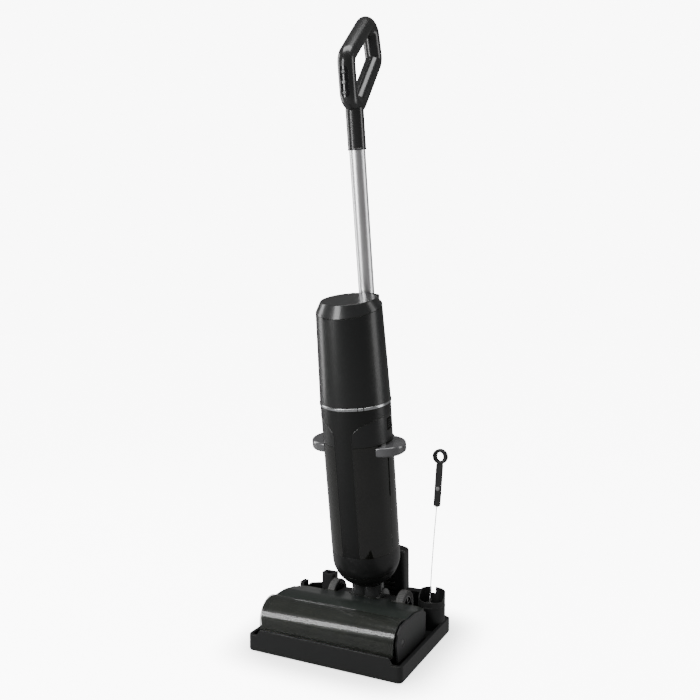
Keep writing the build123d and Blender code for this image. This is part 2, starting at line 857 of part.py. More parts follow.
# ---------------------------------------------------------------- lower shell of the body
bowl_bottom = neck_top + running_gap
belt_station = 76.0
with BuildPart() as lower_shell:
    with BuildSketch(upright):
        with BuildLine():
            Line((stem_radius + pin_gap, bowl_bottom), (25, bowl_bottom))
            Spline(
                (25, bowl_bottom),
                (37.5, 50.0),
                (51.5, 62.5),
                (60.6, 80.0),
                (body_radius, 104.0),
                tangents=((1, 0.1), (0, 1)),
            )
            Line((body_radius, 104.0), (body_radius, bowl_top))
            Line((body_radius, bowl_top), (stem_radius + pin_gap, bowl_top))
            Line((stem_radius + pin_gap, bowl_top), (stem_radius + pin_gap, bowl_bottom))
        make_face()
    revolve(axis=body_axis)
    # hollow: leaves the skin, a top deck and the bearing collar round the stem
    with BuildSketch(upright):
        with BuildLine():
            Line((stem_radius + 3.5, 48.5), (32, 51.5))
            Spline(
                (32, 51.5),
                (48.0, 64.5),
                (57.4, 80.0),
                (body_radius - shell_wall, 104.0),
                tangents=((1, 0.35), (0, 1)),
            )
            Line((body_radius - shell_wall, 104.0), (body_radius - shell_wall, bowl_top - 3))
            Line((body_radius - shell_wall, bowl_top - 3), (stem_radius + 3.5, bowl_top - 3))
            Line((stem_radius + 3.5, bowl_top - 3), (stem_radius + 3.5, 48.5))
        make_face()
    revolve(axis=body_axis, mode=Mode.SUBTRACT)
    # bearing collar ends a little above the stem
    with BuildSketch(body.offset(stem_top + 4)):
        Circle(stem_radius + 6)
    extrude(amount=bowl_top - 3 - stem_top - 4, mode=Mode.SUBTRACT)
    # hole for the waste pipe, up through the deck
    with BuildSketch(body.offset(bowl_top - 5)):
        Circle(hose_radius + 1.6)
    extrude(amount=8, mode=Mode.SUBTRACT)
    # belt line round the bowl
    add(
        revolve(ring_profile(57, 62, belt_station, belt_station + 1.2), axis=body_axis, mode=Mode.PRIVATE),
        mode=Mode.SUBTRACT,
    )
keep(lower_shell, "lower_shell")

# ---------------------------------------------------------------- spine
spine_low = 92.0
socket_bottom = 498.0
hollow_low = 104.0
release_station = 466.0
key_plane = Plane(body.from_local_coords((0, spine_rear, release_station)), lean_up, lean_back)


def body_clearance():
    """Solid of everything that stands in front of the spine, with its gap."""
    with BuildPart() as front:
        with BuildSketch(upright):
            with BuildLine():
                Polyline(
                    (0, spine_low - 60),
                    (body_radius + 0.1, spine_low - 60),
                    (body_radius + 0.1, bowl_top),
                    (tank_radius + running_gap, bowl_top),
                    (tank_radius + running_gap, ring_bottom - 0.2),
                    (ring_radius + 0.1, ring_bottom - 0.2),
                    (ring_radius + 0.1, ring_top + 0.2),
                    (housing_bottom_radius + 0.1, ring_top + 0.2),
                    (housing_top_radius + 0.15, housing_top + 11.5),
                    (cap_top_radius + 1.6, spine_top + 0.6),
                    (cap_top_radius + 1.6, spine_top + 1),
                    (0, spine_top + 1),
                    close=True,
                )
            make_face()
        revolve(axis=body_axis)
    return front.part


with BuildPart() as spine:
    with BuildSketch(body.offset(spine_low)):
        with Locations((0, spine_rear - 24)):
            RectangleRounded(2 * spine_half, 48, 12)
    extrude(amount=spine_top - spine_low)
    add(body_clearance(), mode=Mode.SUBTRACT)
    # cable and hose space below the tube socket
    with BuildSketch(body.offset(hollow_low)):
        with Locations((0, spine_rear - spine_wall - 11)):
            RectangleRounded(2 * spine_half - 2 * spine_wall, 22, 5)
    extrude(amount=socket_bottom - 8 - hollow_low, mode=Mode.SUBTRACT)
    # socket of the tube
    with BuildSketch(tube_plane.offset(socket_bottom)):
        Circle(tube_radius + 0.12)
    extrude(amount=spine_top - socket_bottom + 1, mode=Mode.SUBTRACT)
    # groove for the bridge of the grip hoop
    add(
        revolve(
            ring_profile(
                50,
                tank_radius + 3.6 + running_gap,
                hoop_station - running_gap,
                hoop_station + hoop_height + running_gap,
            ),
            axis=body_axis,
            mode=Mode.PRIVATE,
        ),
        mode=Mode.SUBTRACT,
    )
    # lower end rounded off towards the bowl
    with BuildSketch(mid.offset(-spine_half - 1)):
        with BuildLine():
            Polyline(
                (spine_rear + 1, spine_low - 1),
                (spine_rear + 1, spine_low + 44),
                (body_radius, spine_low - 1),
                close=True,
            )
        make_face()
    extrude(amount=2 * spine_half + 2, mode=Mode.SUBTRACT)
    # top that falls away to the rear
    with BuildSketch(mid.offset(-spine_half - 1)):
        with BuildLine():
            Polyline(
                (cap_top_radius, spine_top),
                (spine_rear - 4, spine_rear_top + 1.5),
                (spine_rear + 1, spine_rear_top - 4),
                (spine_rear + 1, spine_top + 2),
                (cap_top_radius, spine_top + 2),
                close=True,
            )
        make_face()
    extrude(amount=2 * spine_half + 2, mode=Mode.SUBTRACT)
    # hole of the release key
    with BuildSketch(key_plane.offset(1)):
        SlotOverall(24.6, 14.6)
    extrude(amount=-spine_wall - 2, mode=Mode.SUBTRACT)
keep(spine, "spine")

with BuildPart() as release_key:
    with BuildSketch(key_plane.offset(0.8)):
        SlotOverall(24, 14)
    extrude(amount=-spine_wall - 1.2)
    with BuildSketch(key_plane.offset(-spine_wall - 0.3)):
        SlotOverall(27, 17)
    extrude(amount=-1.5)
keep(release_key, "release_key")

# ---------------------------------------------------------------- trim ring, upper housing, cap
with BuildPart() as trim_ring:
    add(ring_profile(61, ring_radius, ring_bottom, ring_top))
    revolve(axis=body_axis)
    fillet(trim_ring.edges().filter_by(GeomType.CIRCLE).filter_by(lambda e: e.radius > 62), radius=1.2)
keep(trim_ring, "trim_ring")

housing_low = ring_top + seat_gap
housing_reach = housing_top + 20
housing_slope = (housing_bottom_radius - housing_top_radius) / (557.0 - ring_top)
reach_radius = housing_bottom_radius - housing_slope * (housing_reach - ring_top)


def tilted(station, tilt):
    """Plane across the body's axis at a station, falling towards the front."""
    fall = radians(tilt)
    normal = Vector(*lean_up) * cos(fall) - Vector(*lean_back) * sin(fall)
    return Plane(origin=body.from_local_coords((0, 0, station)), x_dir=(1, 0, 0), z_dir=normal)


seam_plane = tilted(housing_top, housing_tilt)
seam_radius = housing_bottom_radius - housing_slope * (housing_top - ring_top) - 0.1
stretch = 1 / cos(radians(housing_tilt))
cap_plane = tilted(cap_top, cap_tilt)

with BuildPart() as upper_housing:
    add(ring_profile(0, housing_bottom_radius, housing_low, housing_reach, 0, reach_radius))
    revolve(axis=body_axis)
    add(
        revolve(
            ring_profile(
                0,
                housing_bottom_radius - shell_wall,
                housing_low + 3,
                housing_reach + 1,
                0,
                reach_radius - shell_wall,
            ),
            axis=body_axis,
            mode=Mode.PRIVATE,
        ),
        mode=Mode.SUBTRACT,
    )
    with BuildSketch(seam_plane):
        Circle(2 * body_radius)
    extrude(amount=60, mode=Mode.SUBTRACT)
    # air passage from the tank to the suction motor
    with BuildSketch(body.offset(housing_low - 1)):
        Circle(20)
    extrude(amount=6, mode=Mode.SUBTRACT)
    # exhaust slots in the back half
    for angle in (150, 165, 195, 210):
        blow = radians(angle)
        direction = Vector(body.x_dir) * sin(blow) - Vector(*lean_back) * cos(blow)
        with BuildSketch(
            Plane(body.from_local_coords((0, 0, 500)) + direction * (housing_top_radius - 6), lean_up, direction)
        ):
            with GridLocations(6, 1, 6, 1):
                SlotOverall(12, 2.4, rotation=90)
        extrude(amount=20, mode=Mode.SUBTRACT)
keep(upper_housing, "upper_housing")

with BuildPart() as top_cap:
    with BuildSketch(seam_plane.offset(seam)):
        Ellipse(seam_radius, seam_radius * stretch)
    with BuildSketch(cap_plane):
        Circle(cap_top_radius)
    loft()
    fillet(top_cap.faces().sort_by(Axis(body.origin, lean_up))[-1].edges(), radius=1.6)
    with BuildSketch(seam_plane.offset(seam - 0.01)):
        Ellipse(seam_radius - 3, seam_radius * stretch - 3)
    with BuildSketch(cap_plane.offset(-3)):
        Circle(cap_top_radius - 4)
    loft(mode=Mode.SUBTRACT)
keep(top_cap, "top_cap")

# ---------------------------------------------------------------- works inside the upper housing
fan_low = 476.0
with BuildPart() as suction_motor:
    with BuildSketch(body.offset(housing_low + 3.2)):
        Circle(36)
        Circle(2.5 + pin_gap, mode=Mode.SUBTRACT)
    extrude(amount=58)
keep(suction_motor, "suction_motor")

with BuildPart() as fan:
    with BuildSketch(body.offset(fan_low - 60)):
        Circle(2.5)
    extrude(amount=60)
    with BuildSketch(body.offset(fan_low)):
        Circle(40)
    extrude(amount=2)
    with BuildSketch(body.offset(fan_low + 1.5)):
        Circle(9)
        with PolarLocations(23, 9):
            Rectangle(30, 1.6, rotation=22)
    extrude(amount=9)
keep(fan, "fan")

battery_low = fan_low + 16
with BuildPart() as battery_pack:
    with BuildSketch(body.offset(battery_low)):
        RectangleRounded(76, 56, 9)
    extrude(amount=62)
keep(battery_pack, "battery_pack")

with BuildPart() as main_board:
    with BuildSketch(body.offset(battery_low + 66)):
        RectangleRounded(62, 60, 3)
    extrude(amount=1.6)
    with BuildSketch(body.offset(battery_low + 67)):
        with Locations((-14, 8), (16, -10)):
            Rectangle(16, 12)
    extrude(amount=6)
keep(main_board, "main_board")

with BuildPart() as water_pump:
    with BuildSketch(body.offset(84)):
        with Locations((36, 0)):
            Circle(11)
    extrude(amount=27)
keep(water_pump, "water_pump")

# ---------------------------------------------------------------- tank
frame_radius = tank_radius + 0.2
frame_thick = 1.7
groove_radius = frame_radius - frame_thick - 0.1
vessel_wall = 3.0
vessel_inner = tank_radius - vessel_wall
pipe_radius = 11.7
pipe_top = 292.0
shoulder_low = 351.5
shoulder_out = 33.0
shoulder_high = 368.5
shoulder_end = 379.5


def frame_mask(grow=0.0):
    """Solid block behind the front view of the pillar and its flared collar."""
    edge = pillar_half + grow
    with BuildPart() as mask:
        with BuildSketch(upright):
            with BuildLine():
                Line((edge, tank_bottom - grow), (edge, shoulder_low))
                ThreePointArc((edge, shoulder_low), (edge + 0.9, shoulder_low + 2.7), (edge + 3.0, shoulder_low + 4.7))
                Line((edge + 3.0, shoulder_low + 4.7), (shoulder_out, shoulder_high - grow))
                Line((shoulder_out, shoulder_high - grow), (frame_radius + 2, shoulder_end - grow))
                Line((frame_radius + 2, shoulder_end - grow), (frame_radius + 2, tank_top + grow))
                Line((frame_radius + 2, tank_top + grow), (0, tank_top + grow))
                Line((0, tank_top + grow), (0, tank_bottom - grow))
                Line((0, tank_bottom - grow), (edge, tank_bottom - grow))
            make_face()
            mirror(about=Plane.YZ)
        extrude(amount=frame_radius + 2)
        # the collar alone goes on round the back
        with BuildSketch(upright):
            with BuildLine():
                Polyline(
                    (0, shoulder_end - grow),
                    (frame_radius + 2, shoulder_end - grow),
                    (frame_radius + 2, tank_top + grow),
                    (0, tank_top + grow),
                    close=True,
                )
            make_face()
            mirror(about=Plane.YZ)
        extrude(amount=-frame_radius - 2)
    return mask.part


def frame_band(inner, outer, grow=0.0):
    """Cylindrical skin between two radii, cut to the pillar and collar."""
    with BuildPart() as band:
        add(ring_profile(inner, outer, tank_bottom - 1, tank_top + 1))
        revolve(axis=body_axis)
        add(frame_mask(grow), mode=Mode.INTERSECT)
    return band.part


latch_station = 361.0
latch_width = 18.0
latch_height = 22.0


def latch_ports(grow=0.0):
    """The two side openings of the lid."""
    with BuildPart() as ports:
        with BuildSketch(body.offset(latch_station - latch_height / 2 - grow)):
            with Locations((58, 0), (-58, 0)):
                Rectangle(16, latch_width + 2 * grow)
        extrude(amount=latch_height + 2 * grow)
    return ports.part


with BuildPart() as front_frame:
    add(frame_band(frame_radius - frame_thick, frame_radius))
keep(front_frame, "front_frame")

with BuildPart() as tank_vessel:
    add(ring_profile(0, tank_radius, tank_bottom, window_top))
    revolve(axis=body_axis)
    add(
        revolve(
            ring_profile(0, vessel_inner, tank_bottom + vessel_wall, window_top + 1),
            axis=body_axis,
            mode=Mode.PRIVATE,
        ),
        mode=Mode.SUBTRACT,
    )
    add(frame_band(groove_radius, frame_radius + 1, 0.1), mode=Mode.SUBTRACT)
    # standpipe that brings the dirty water in above its level
    with BuildSketch(body.offset(tank_bottom)):
        Circle(pipe_radius)
    extrude(amount=pipe_top - tank_bottom)
    with BuildSketch(body.offset(tank_bottom - 1)):
        Circle(pipe_radius - 2)
    extrude(amount=pipe_top - tank_bottom + 2, mode=Mode.SUBTRACT)
keep(tank_vessel, "tank_vessel")

lid_low = window_top + seam
plug_low = 311.0
plug_outer = vessel_inner - 0.8
float_x = -28.0
float_y = -34.0
with BuildPart() as tank_lid:
    add(ring_profile(0, tank_radius, lid_low, tank_top))
    revolve(axis=body_axis)
    add(revolve(ring_profile(0, plug_outer, plug_low, lid_low + 1), axis=body_axis, mode=Mode.PRIVATE))
    add(
        revolve(
            ring_profile(0, plug_outer - 2.4, plug_low - 1, tank_top - 3),
            axis=body_axis,
            mode=Mode.PRIVATE,
        ),
        mode=Mode.SUBTRACT,
    )
    add(frame_band(groove_radius, frame_radius + 1, 0.1), mode=Mode.SUBTRACT)
    add(latch_ports(), mode=Mode.SUBTRACT)
    # groove of the seal
    add(
        revolve(ring_profile(plug_outer - 1, plug_outer + 1, 317, 321), axis=body_axis, mode=Mode.PRIVATE),
        mode=Mode.SUBTRACT,
    )
    # rod that guides the float, hung from the top
    with BuildSketch(body.offset(tank_top - 2)):
        with Locations((float_x, float_y)):
            Circle(3)
    extrude(amount=-(tank_top - 2 - 282))
    with BuildSketch(body.offset(282)):
        with Locations((float_x, float_y)):
            Circle(6)
    extrude(amount=2)
    # air outlet in the middle of the top
    with BuildSketch(body.offset(tank_top - 5)):
        Circle(18)
    extrude(amount=8, mode=Mode.SUBTRACT)
keep(tank_lid, "tank_lid")

with BuildPart() as tank_seal:
    add(ring_profile(plug_outer - 0.95, vessel_inner - 0.05, 317.1, 320.9))
    revolve(axis=body_axis)
keep(tank_seal, "tank_seal")

with BuildPart() as tank_float:
    with BuildSketch(body.offset(284.3)):
        with Locations((float_x, float_y)):
            Circle(10)
            Circle(3 + pin_gap, mode=Mode.SUBTRACT)
    extrude(amount=16)
keep(tank_float, "tank_float")

with BuildPart() as tank_filter:
    with BuildSketch(body.offset(342)):
        with Locations((0, 8)):
            Circle(27)
            Circle(17, mode=Mode.SUBTRACT)
    extrude(amount=tank_top - 3.1 - 342)
keep(tank_filter, "tank_filter")

with BuildPart() as clean_tank:
    with BuildSketch(body.offset(tank_bottom + vessel_wall + 0.1)):
        Circle(vessel_inner - 0.8)
        with Locations((0, 15 + 40)):
            Rectangle(120, 80, mode=Mode.INTERSECT)
    extrude(amount=168)
    offset(amount=-2.0, mode=Mode.SUBTRACT)
keep(clean_tank, "clean_tank")

with BuildPart() as grip_hoop:
    with BuildSketch(body.offset(hoop_station)):
        with Locations((-lobe_offset, 0), (lobe_offset, 0)):
            Circle(lobe_radius)
        with BuildSketch(mode=Mode.PRIVATE) as bridge:
            Circle(tank_radius + 3.4)
            with Locations((0, 60)):
                Rectangle(160, 120, mode=Mode.INTERSECT)
        add(bridge.sketch)
        Circle(tank_radius + 0.1, mode=Mode.SUBTRACT)
    extrude(amount=hoop_height)
    fillet(
        grip_hoop.edges().filter_by(GeomType.CIRCLE).filter_by(lambda e: abs(e.radius - lobe_radius) < 0.1),
        radius=hoop_edge,
    )
keep(grip_hoop, "grip_hoop")

for side, name in ((-1, "left_latch"), (1, "right_latch")):
    with BuildPart() as latch:
        with BuildSketch(body.offset(latch_station - latch_height / 2 + 0.4)):
            Circle(tank_radius - 0.6)
            with Locations((side * 60, 0)):
                Rectangle(13, latch_width - 0.8, mode=Mode.INTERSECT)
        extrude(amount=latch_height - 0.8)
        with BuildSketch(body.offset(latch_station - latch_height / 2 - 3)):
            with Locations((side * 52.4, 0)):
                Rectangle(2.6, latch_width + 7)
        extrude(amount=latch_height + 6)
    keep(latch, name)

# ---------------------------------------------------------------- tube and handle
with BuildPart() as handle_tube:
    with BuildSketch(tube_plane.offset(tube_bottom)):
        Circle(tube_radius)
        Circle(tube_radius - tube_wall, mode=Mode.SUBTRACT)
    extrude(amount=tube_top - tube_bottom)
keep(handle_tube, "handle_tube")

strip_x = 8.0
strip_low = 925.0
strip_high = 977.0
bar_back = 56.6
board_back = 48.5


def loop_sweep(radius, side, start_x):
    """Bar along the handle's loop, from start_x out to one side of the middle plane."""
    with BuildPart() as bar:
        with BuildLine(mid) as path:
            FilletPolyline(*loop_points, radius=loop_bends, close=True)
        route = path.wires()[0]
        with BuildSketch(Plane(origin=route @ 0, x_dir=(1, 0, 0), z_dir=route % 0)):
            Circle(radius)
            with Locations((start_x + side * 20, 0)):
                Rectangle(40, 60, mode=Mode.INTERSECT)
        sweep(path=route)
    return bar.part


def strip_window(grow=0.0):
    """Slot shaped block through the front skin of the front bar."""
    front_plane = upright.offset(-(board_back - 4))
    with BuildPart() as window:
        with BuildSketch(front_plane):
            with Locations((0, (strip_low + strip_high) / 2)):
                SlotOverall(strip_high - strip_low + 2 * grow, 2 * strip_x + 2 * grow, rotation=90)
        extrude(amount=8)
    return window.part


# two shells that meet on the middle plane
for side, name in ((-1, "handle_shell_left"), (1, "handle_shell_right")):
    with BuildPart() as shell:
        add(loop_sweep(loop_radius, side, side * seat_gap / 2))
        with BuildSketch(tube_plane.offset(sleeve_bottom)):
            Circle(sleeve_radius)
            with Locations((side * (20 + seat_gap / 2), 0)):
                Rectangle(40, 60, mode=Mode.INTERSECT)
        extrude(amount=tube_top + 28 - sleeve_bottom)
        add(loop_sweep(loop_radius - loop_wall, side, -side * 1.0), mode=Mode.SUBTRACT)
        with BuildSketch(tube_plane.offset(sleeve_bottom - 1)):
            Circle(tube_radius + 0.1)
        extrude(amount=tube_top + 22 - sleeve_bottom, mode=Mode.SUBTRACT)
        for station in key_stations:
            with BuildSketch(upright.offset(-board_back - 6)):
                with Locations((0, station)):
                    Circle(key_radius + 0.2)
            extrude(amount=20, mode=Mode.SUBTRACT)
        add(strip_window(0.1), mode=Mode.SUBTRACT)
    keep(shell, name)

with BuildPart() as control_strip:
    with BuildSketch(Plane(mid.from_local_coords((bar_back, strip_low - 2)), (1, 0, 0), lean_up)):
        Circle(loop_radius + 0.15)
        Circle(loop_radius - 1.2, mode=Mode.SUBTRACT)
    extrude(amount=strip_high - strip_low + 4)
    add(strip_window(), mode=Mode.INTERSECT)
    for station in key_stations:
        with BuildSketch(upright.offset(-board_back - 6)):
            with Locations((0, station)):
                Circle(key_radius + 0.2)
        extrude(amount=20, mode=Mode.SUBTRACT)
keep(control_strip, "control_strip")

key_face = bar_back - loop_radius - 0.9
for station, name in zip(key_stations, ("mode_key", "clean_key", "power_key")):
    with BuildPart() as key:
        with BuildSketch(upright.offset(-key_face)):
            with Locations((0, station)):
                Circle(key_radius)
        extrude(amount=-(board_back - 1.2 - key_face))
        fillet(key.faces().sort_by(Axis(body.origin, lean_back))[0].edges(), radius=0.6)
    keep(key, name)

with BuildPart() as handle_board:
    with BuildSketch(upright.offset(-board_back - 1.6)):
        with Locations((0, (strip_low + strip_high) / 2)):
            Rectangle(13, 44)
    extrude(amount=1.6)
keep(handle_board, "handle_board")
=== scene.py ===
"""Looks of a wet dry floor scrubber parked on its dock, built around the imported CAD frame.

Everything is in metres. The leaning body has its own axes: x across, back away from the front, and up
along the body from the wheel axle. Small pieces are shaped there and then set down in the frame.
"""

from __future__ import annotations

import logging
import math
import random
from dataclasses import dataclass, field
from enum import Enum
from typing import Any, Iterable, Sequence

import bmesh
import bpy
from mathutils import Matrix, Vector, noise


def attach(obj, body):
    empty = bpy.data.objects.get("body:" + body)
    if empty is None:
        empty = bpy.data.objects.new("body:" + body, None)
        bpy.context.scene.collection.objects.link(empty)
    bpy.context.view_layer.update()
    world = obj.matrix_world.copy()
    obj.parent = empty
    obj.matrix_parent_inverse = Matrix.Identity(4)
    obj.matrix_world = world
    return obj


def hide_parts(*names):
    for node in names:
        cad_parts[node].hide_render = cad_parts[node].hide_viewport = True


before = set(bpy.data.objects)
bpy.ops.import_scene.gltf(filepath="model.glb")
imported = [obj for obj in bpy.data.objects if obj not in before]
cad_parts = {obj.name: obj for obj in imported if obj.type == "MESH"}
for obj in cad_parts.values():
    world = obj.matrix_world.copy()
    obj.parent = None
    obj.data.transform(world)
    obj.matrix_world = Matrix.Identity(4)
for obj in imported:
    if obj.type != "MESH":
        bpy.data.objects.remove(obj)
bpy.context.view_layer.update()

log = logging.getLogger("scrubber")
Colour = tuple[float, float, float]

MM = 0.001
LEAN = math.radians(9.7)
AXLE = Vector((0.0, 0.052, 0.0491))
BODY_UP = Vector((0.0, -math.sin(LEAN), math.cos(LEAN)))
BODY_BACK = Vector((0.0, math.cos(LEAN), math.sin(LEAN)))
SMOOTH_ANGLE = 0.6
BEVEL_FACES = 3
WELD = 1e-6


class Slot(Enum):
    """Material slots of the record."""

    DOCK = "dock_black"
    SHELL = "shell_charcoal"
    GLOSS = "gloss_black"
    SMOKED = "smoked_clear"
    NAP = "nap_fabric"
    STEEL = "steel"
    KEY = "key_grey"
    BRISTLE = "bristle_grey"


def body_matrix() -> Matrix:
    """Matrix from the leaning body's own axes to the frame."""
    turn = Matrix(((1.0, 0.0, 0.0), tuple(BODY_BACK), tuple(BODY_UP))).transposed()
    return Matrix.Translation(AXLE) @ turn.to_4x4()


BODY = body_matrix()


# ---------------------------------------------------------------- shader graph


class Sig:
    """A shader value that Python's operators act on through Math nodes."""

    def __init__(self, graph: "Graph", socket: bpy.types.NodeSocket) -> None:
        """Wraps a socket.

        Args:
            graph: the graph that the socket is in.
            socket: an output socket.
        """
        self.graph = graph
        self.socket = socket

    def _math(self, operation: str, first: Any, second: Any) -> "Sig":
        """Adds one Math node.

        Args:
            operation: the node's operation.
            first: its first value.
            second: its second value.

        Returns:
            The node's result.
        """
        made = self.graph.node("ShaderNodeMath", {"operation": operation}, {0: first, 1: second})
        return Sig(self.graph, made.outputs[0])

    def __add__(self, other: Any) -> "Sig":
        """Sum."""
        return self._math("ADD", self, other)

    def __sub__(self, other: Any) -> "Sig":
        """Difference."""
        return self._math("SUBTRACT", self, other)

    def __mul__(self, other: Any) -> "Sig":
        """Product."""
        return self._math("MULTIPLY", self, other)

    def __pow__(self, other: Any) -> "Sig":
        """Power."""
        return self._math("POWER", self, other)


class Graph:
    """The node tree of one material."""

    def __init__(self, name: str) -> None:
        """Starts an empty material.

        Args:
            name: the material's name.
        """
        self.material = bpy.data.materials.new(name)
        self.material.use_nodes = True
        self.tree = self.material.node_tree
        self.tree.nodes.clear()
        self.coords = self.node("ShaderNodeTexCoord").outputs["Object"]

    def node(
        self,
        kind: str,
        settings: dict[str, Any] | None = None,
        inputs: dict[Any, Any] | None = None,
    ) -> bpy.types.Node:
        """Adds a node, sets it up and feeds its sockets.

        Args:
            kind: the node's type.
            settings: attributes that are set first.
            inputs: values or links by socket name or number.

        Returns:
            The new node.
        """
        made = self.tree.nodes.new(kind)
        for key, value in (settings or {}).items():
            setattr(made, key, value)
        for key, value in (inputs or {}).items():
            if isinstance(value, Sig):
                value = value.socket
            if isinstance(value, bpy.types.NodeSocket):
                self.tree.links.new(value, made.inputs[key])
            else:
                made.inputs[key].default_value = value
        return made

    def noise(self, scale: float, detail: float = 2.0, coords: Any = None, distort: float = 0.0) -> Sig:
        """Smooth noise over the piece, around 0.5.

        Args:
            scale: cells in a metre.
            detail: how many finer layers it has.
            coords: the place it is read at, or None for the object's own.
            distort: how far the cells are pulled about.

        Returns:
            The noise value.
        """
        made = self.node(
            "ShaderNodeTexNoise",
            {},
            {
                "Vector": coords or self.coords,
                "Scale": scale,
                "Detail": detail,
                "Distortion": distort,
            },
        )
        return Sig(self, made.outputs["Fac"])

    def voronoi(self, scale: float, coords: Any = None) -> Sig:
        """Distance to the nearest of scattered points.

        Args:
            scale: cells in a metre.
            coords: the place it is read at, or None for the object's own.

        Returns:
            The distance value.
        """
        made = self.node("ShaderNodeTexVoronoi", {}, {"Vector": coords or self.coords, "Scale": scale})
        return Sig(self, made.outputs["Distance"])

    def placed(self, centre: Sequence[float], turn: Sequence[float], scale: Sequence[float]) -> Any:
        """Object coordinates, centred, turned and stretched.

        Args:
            centre: the point that becomes the origin.
            turn: rotation about X, Y and Z.
            scale: stretch along X, Y and Z.

        Returns:
            The vector socket.
        """
        moved = self.node(
            "ShaderNodeMapping",
            {"vector_type": "POINT"},
            {"Vector": self.coords, "Location": tuple(-c for c in centre)},
        )
        made = self.node(
            "ShaderNodeMapping",
            {"vector_type": "POINT"},
            {"Vector": moved.outputs[0], "Rotation": tuple(turn), "Scale": tuple(scale)},
        )
        return made.outputs[0]

    def blend(self, factor: Sig, first: Colour, second: Colour) -> bpy.types.NodeSocket:
        """Mixes two colours.

        Args:
            factor: 0 for the first and 1 for the second.
            first: the first colour.
            second: the second colour.

        Returns:
            The colour socket.
        """
        made = self.node(
            "ShaderNodeMix",
            {"data_type": "RGBA", "clamp_factor": True},
            {0: factor, 6: (*first, 1.0), 7: (*second, 1.0)},
        )
        return made.outputs[2]

    def step(self, value: Sig, low: float, high: float) -> Sig:
        """Smooth step of a value from 0 at low to 1 at high.

        Args:
            value: the value.
            low: where the step starts.
            high: where it ends.

        Returns:
            The stepped value.
        """
        made = self.node(
            "ShaderNodeMapRange",
            {"interpolation_type": "SMOOTHSTEP"},
            {"Value": value, "From Min": low, "From Max": high},
        )
        return Sig(self, made.outputs[0])

    def bump(self, height: Sig, distance: float, strength: float, edge: float = 0.0) -> bpy.types.NodeSocket:
        """Normal from a height, with softened edges under it.

        Args:
            height: the height, 0 to 1.
            distance: how tall 1 is, in metres.
            strength: share of the effect.
            edge: radius of the softened edges, in metres.

        Returns:
            The normal socket.
        """
        inputs: dict[Any, Any] = {"Height": height, "Distance": distance, "Strength": strength}
        if edge:
            soft = self.node("ShaderNodeBevel", {"samples": 6}, {"Radius": edge})
            inputs["Normal"] = soft.outputs[0]
        return self.node("ShaderNodeBump", {}, inputs).outputs[0]

    def close(self, inputs: dict[Any, Any]) -> bpy.types.Material:
        """Adds the surface shader and the output.

        Args:
            inputs: values or links of the surface shader.

        Returns:
            The finished material.
        """
        surface = self.node("ShaderNodeBsdfPrincipled", {}, inputs)
        self.node("ShaderNodeOutputMaterial", {}, {"Surface": surface.outputs[0]})
        return self.material


def lighter(colour: Colour, by: float) -> Colour:
    """A colour scaled by a number."""
    return (colour[0] * by, colour[1] * by, colour[2] * by)


@dataclass(frozen=True)
class Finish:
    """What every finish has: a name, its colour and how rough it is."""

    name: str
    colour: Colour
    rough: float

    def build(self) -> bpy.types.Material:
        """Makes the material.

        Returns:
            The new material.
        """
        raise NotImplementedError


@dataclass(frozen=True)
class Moulded(Finish):
    """Moulded plastic with a fine texture, slight flow marks and handling marks."""

    grain: float = 1400.0
    grain_depth: float = 0.00006
    edge: float = 0.0007
    specular: float = 0.4
    coat: float = 0.0
    dust: float = 0.10

    def build(self) -> bpy.types.Material:
        """Makes the material.

        Returns:
            The new material.
        """
        g = Graph(self.name)
        fine = g.noise(self.grain, 2.0)
        flow = g.noise(11.0, 3.0, distort=0.6)
        marks = g.step(g.noise(90.0, 6.0), 0.52, 0.72)
        tone = flow * 0.7 + marks * self.dust
        rough = (flow - 0.5) * 0.14 + (fine - 0.5) * 0.08 + marks * 0.06 + self.rough
        return g.close(
            {
                "Base Color": g.blend(tone, lighter(self.colour, 0.86), lighter(self.colour, 1.35)),
                "Roughness": rough,
                "Specular IOR Level": self.specular,
                "Coat Weight": self.coat,
                "Coat Roughness": 0.12,
                "Normal": g.bump(fine, self.grain_depth, 0.5, self.edge),
            }
        )


@dataclass(frozen=True)
class Smoked(Finish):
    """Clear plastic with a smoke tint."""

    body: float = 0.6
    rim: float = 0.35
    ripple: float = 0.00004
    coat: float = 0.6

    def build(self) -> bpy.types.Material:
        """Makes the material.

        Returns:
            The new material.
        """
        g = Graph(self.name)
        film = g.noise(24.0, 3.0, distort=0.4)
        specks = g.step(g.noise(420.0, 3.0), 0.63, 0.75)
        facing = Sig(g, g.node("ShaderNodeLayerWeight", {}, {"Blend": 0.35}).outputs["Facing"])
        alpha = facing * self.rim + film * 0.08 + specks * 0.05 + (self.body - 0.04)
        return g.close(
            {
                "Base Color": g.blend(film, lighter(self.colour, 0.8), lighter(self.colour, 1.3)),
                "Roughness": film * 0.05 + specks * 0.1 + self.rough,
                "Alpha": alpha,
                "IOR": 1.5,
                "Coat Weight": self.coat,
                "Coat Roughness": 0.04,
                "Normal": g.bump(film, self.ripple, 0.4),
            }
        )


@dataclass(frozen=True)
class Metal(Finish):
    """Metal with drawn or turned lines along one direction."""

    lines: tuple[float, float, float] = (1600.0, 1600.0, 14.0)
    depth: float = 0.00003

    def build(self) -> bpy.types.Material:
        """Makes the material.

        Returns:
            The new material.
        """
        g = Graph(self.name)
        at = g.placed(AXLE, (-LEAN, 0.0, 0.0), self.lines)
        drawn = g.noise(1.0, 3.0, coords=at)
        cloud = g.noise(18.0, 2.0)
        return g.close(
            {
                "Base Color": g.blend(cloud, lighter(self.colour, 0.93), self.colour),
                "Metallic": 1.0,
                "Roughness": (drawn - 0.5) * 0.18 + (cloud - 0.5) * 0.06 + self.rough,
                "Normal": g.bump(drawn, self.depth, 0.35, 0.0004),
            }
        )


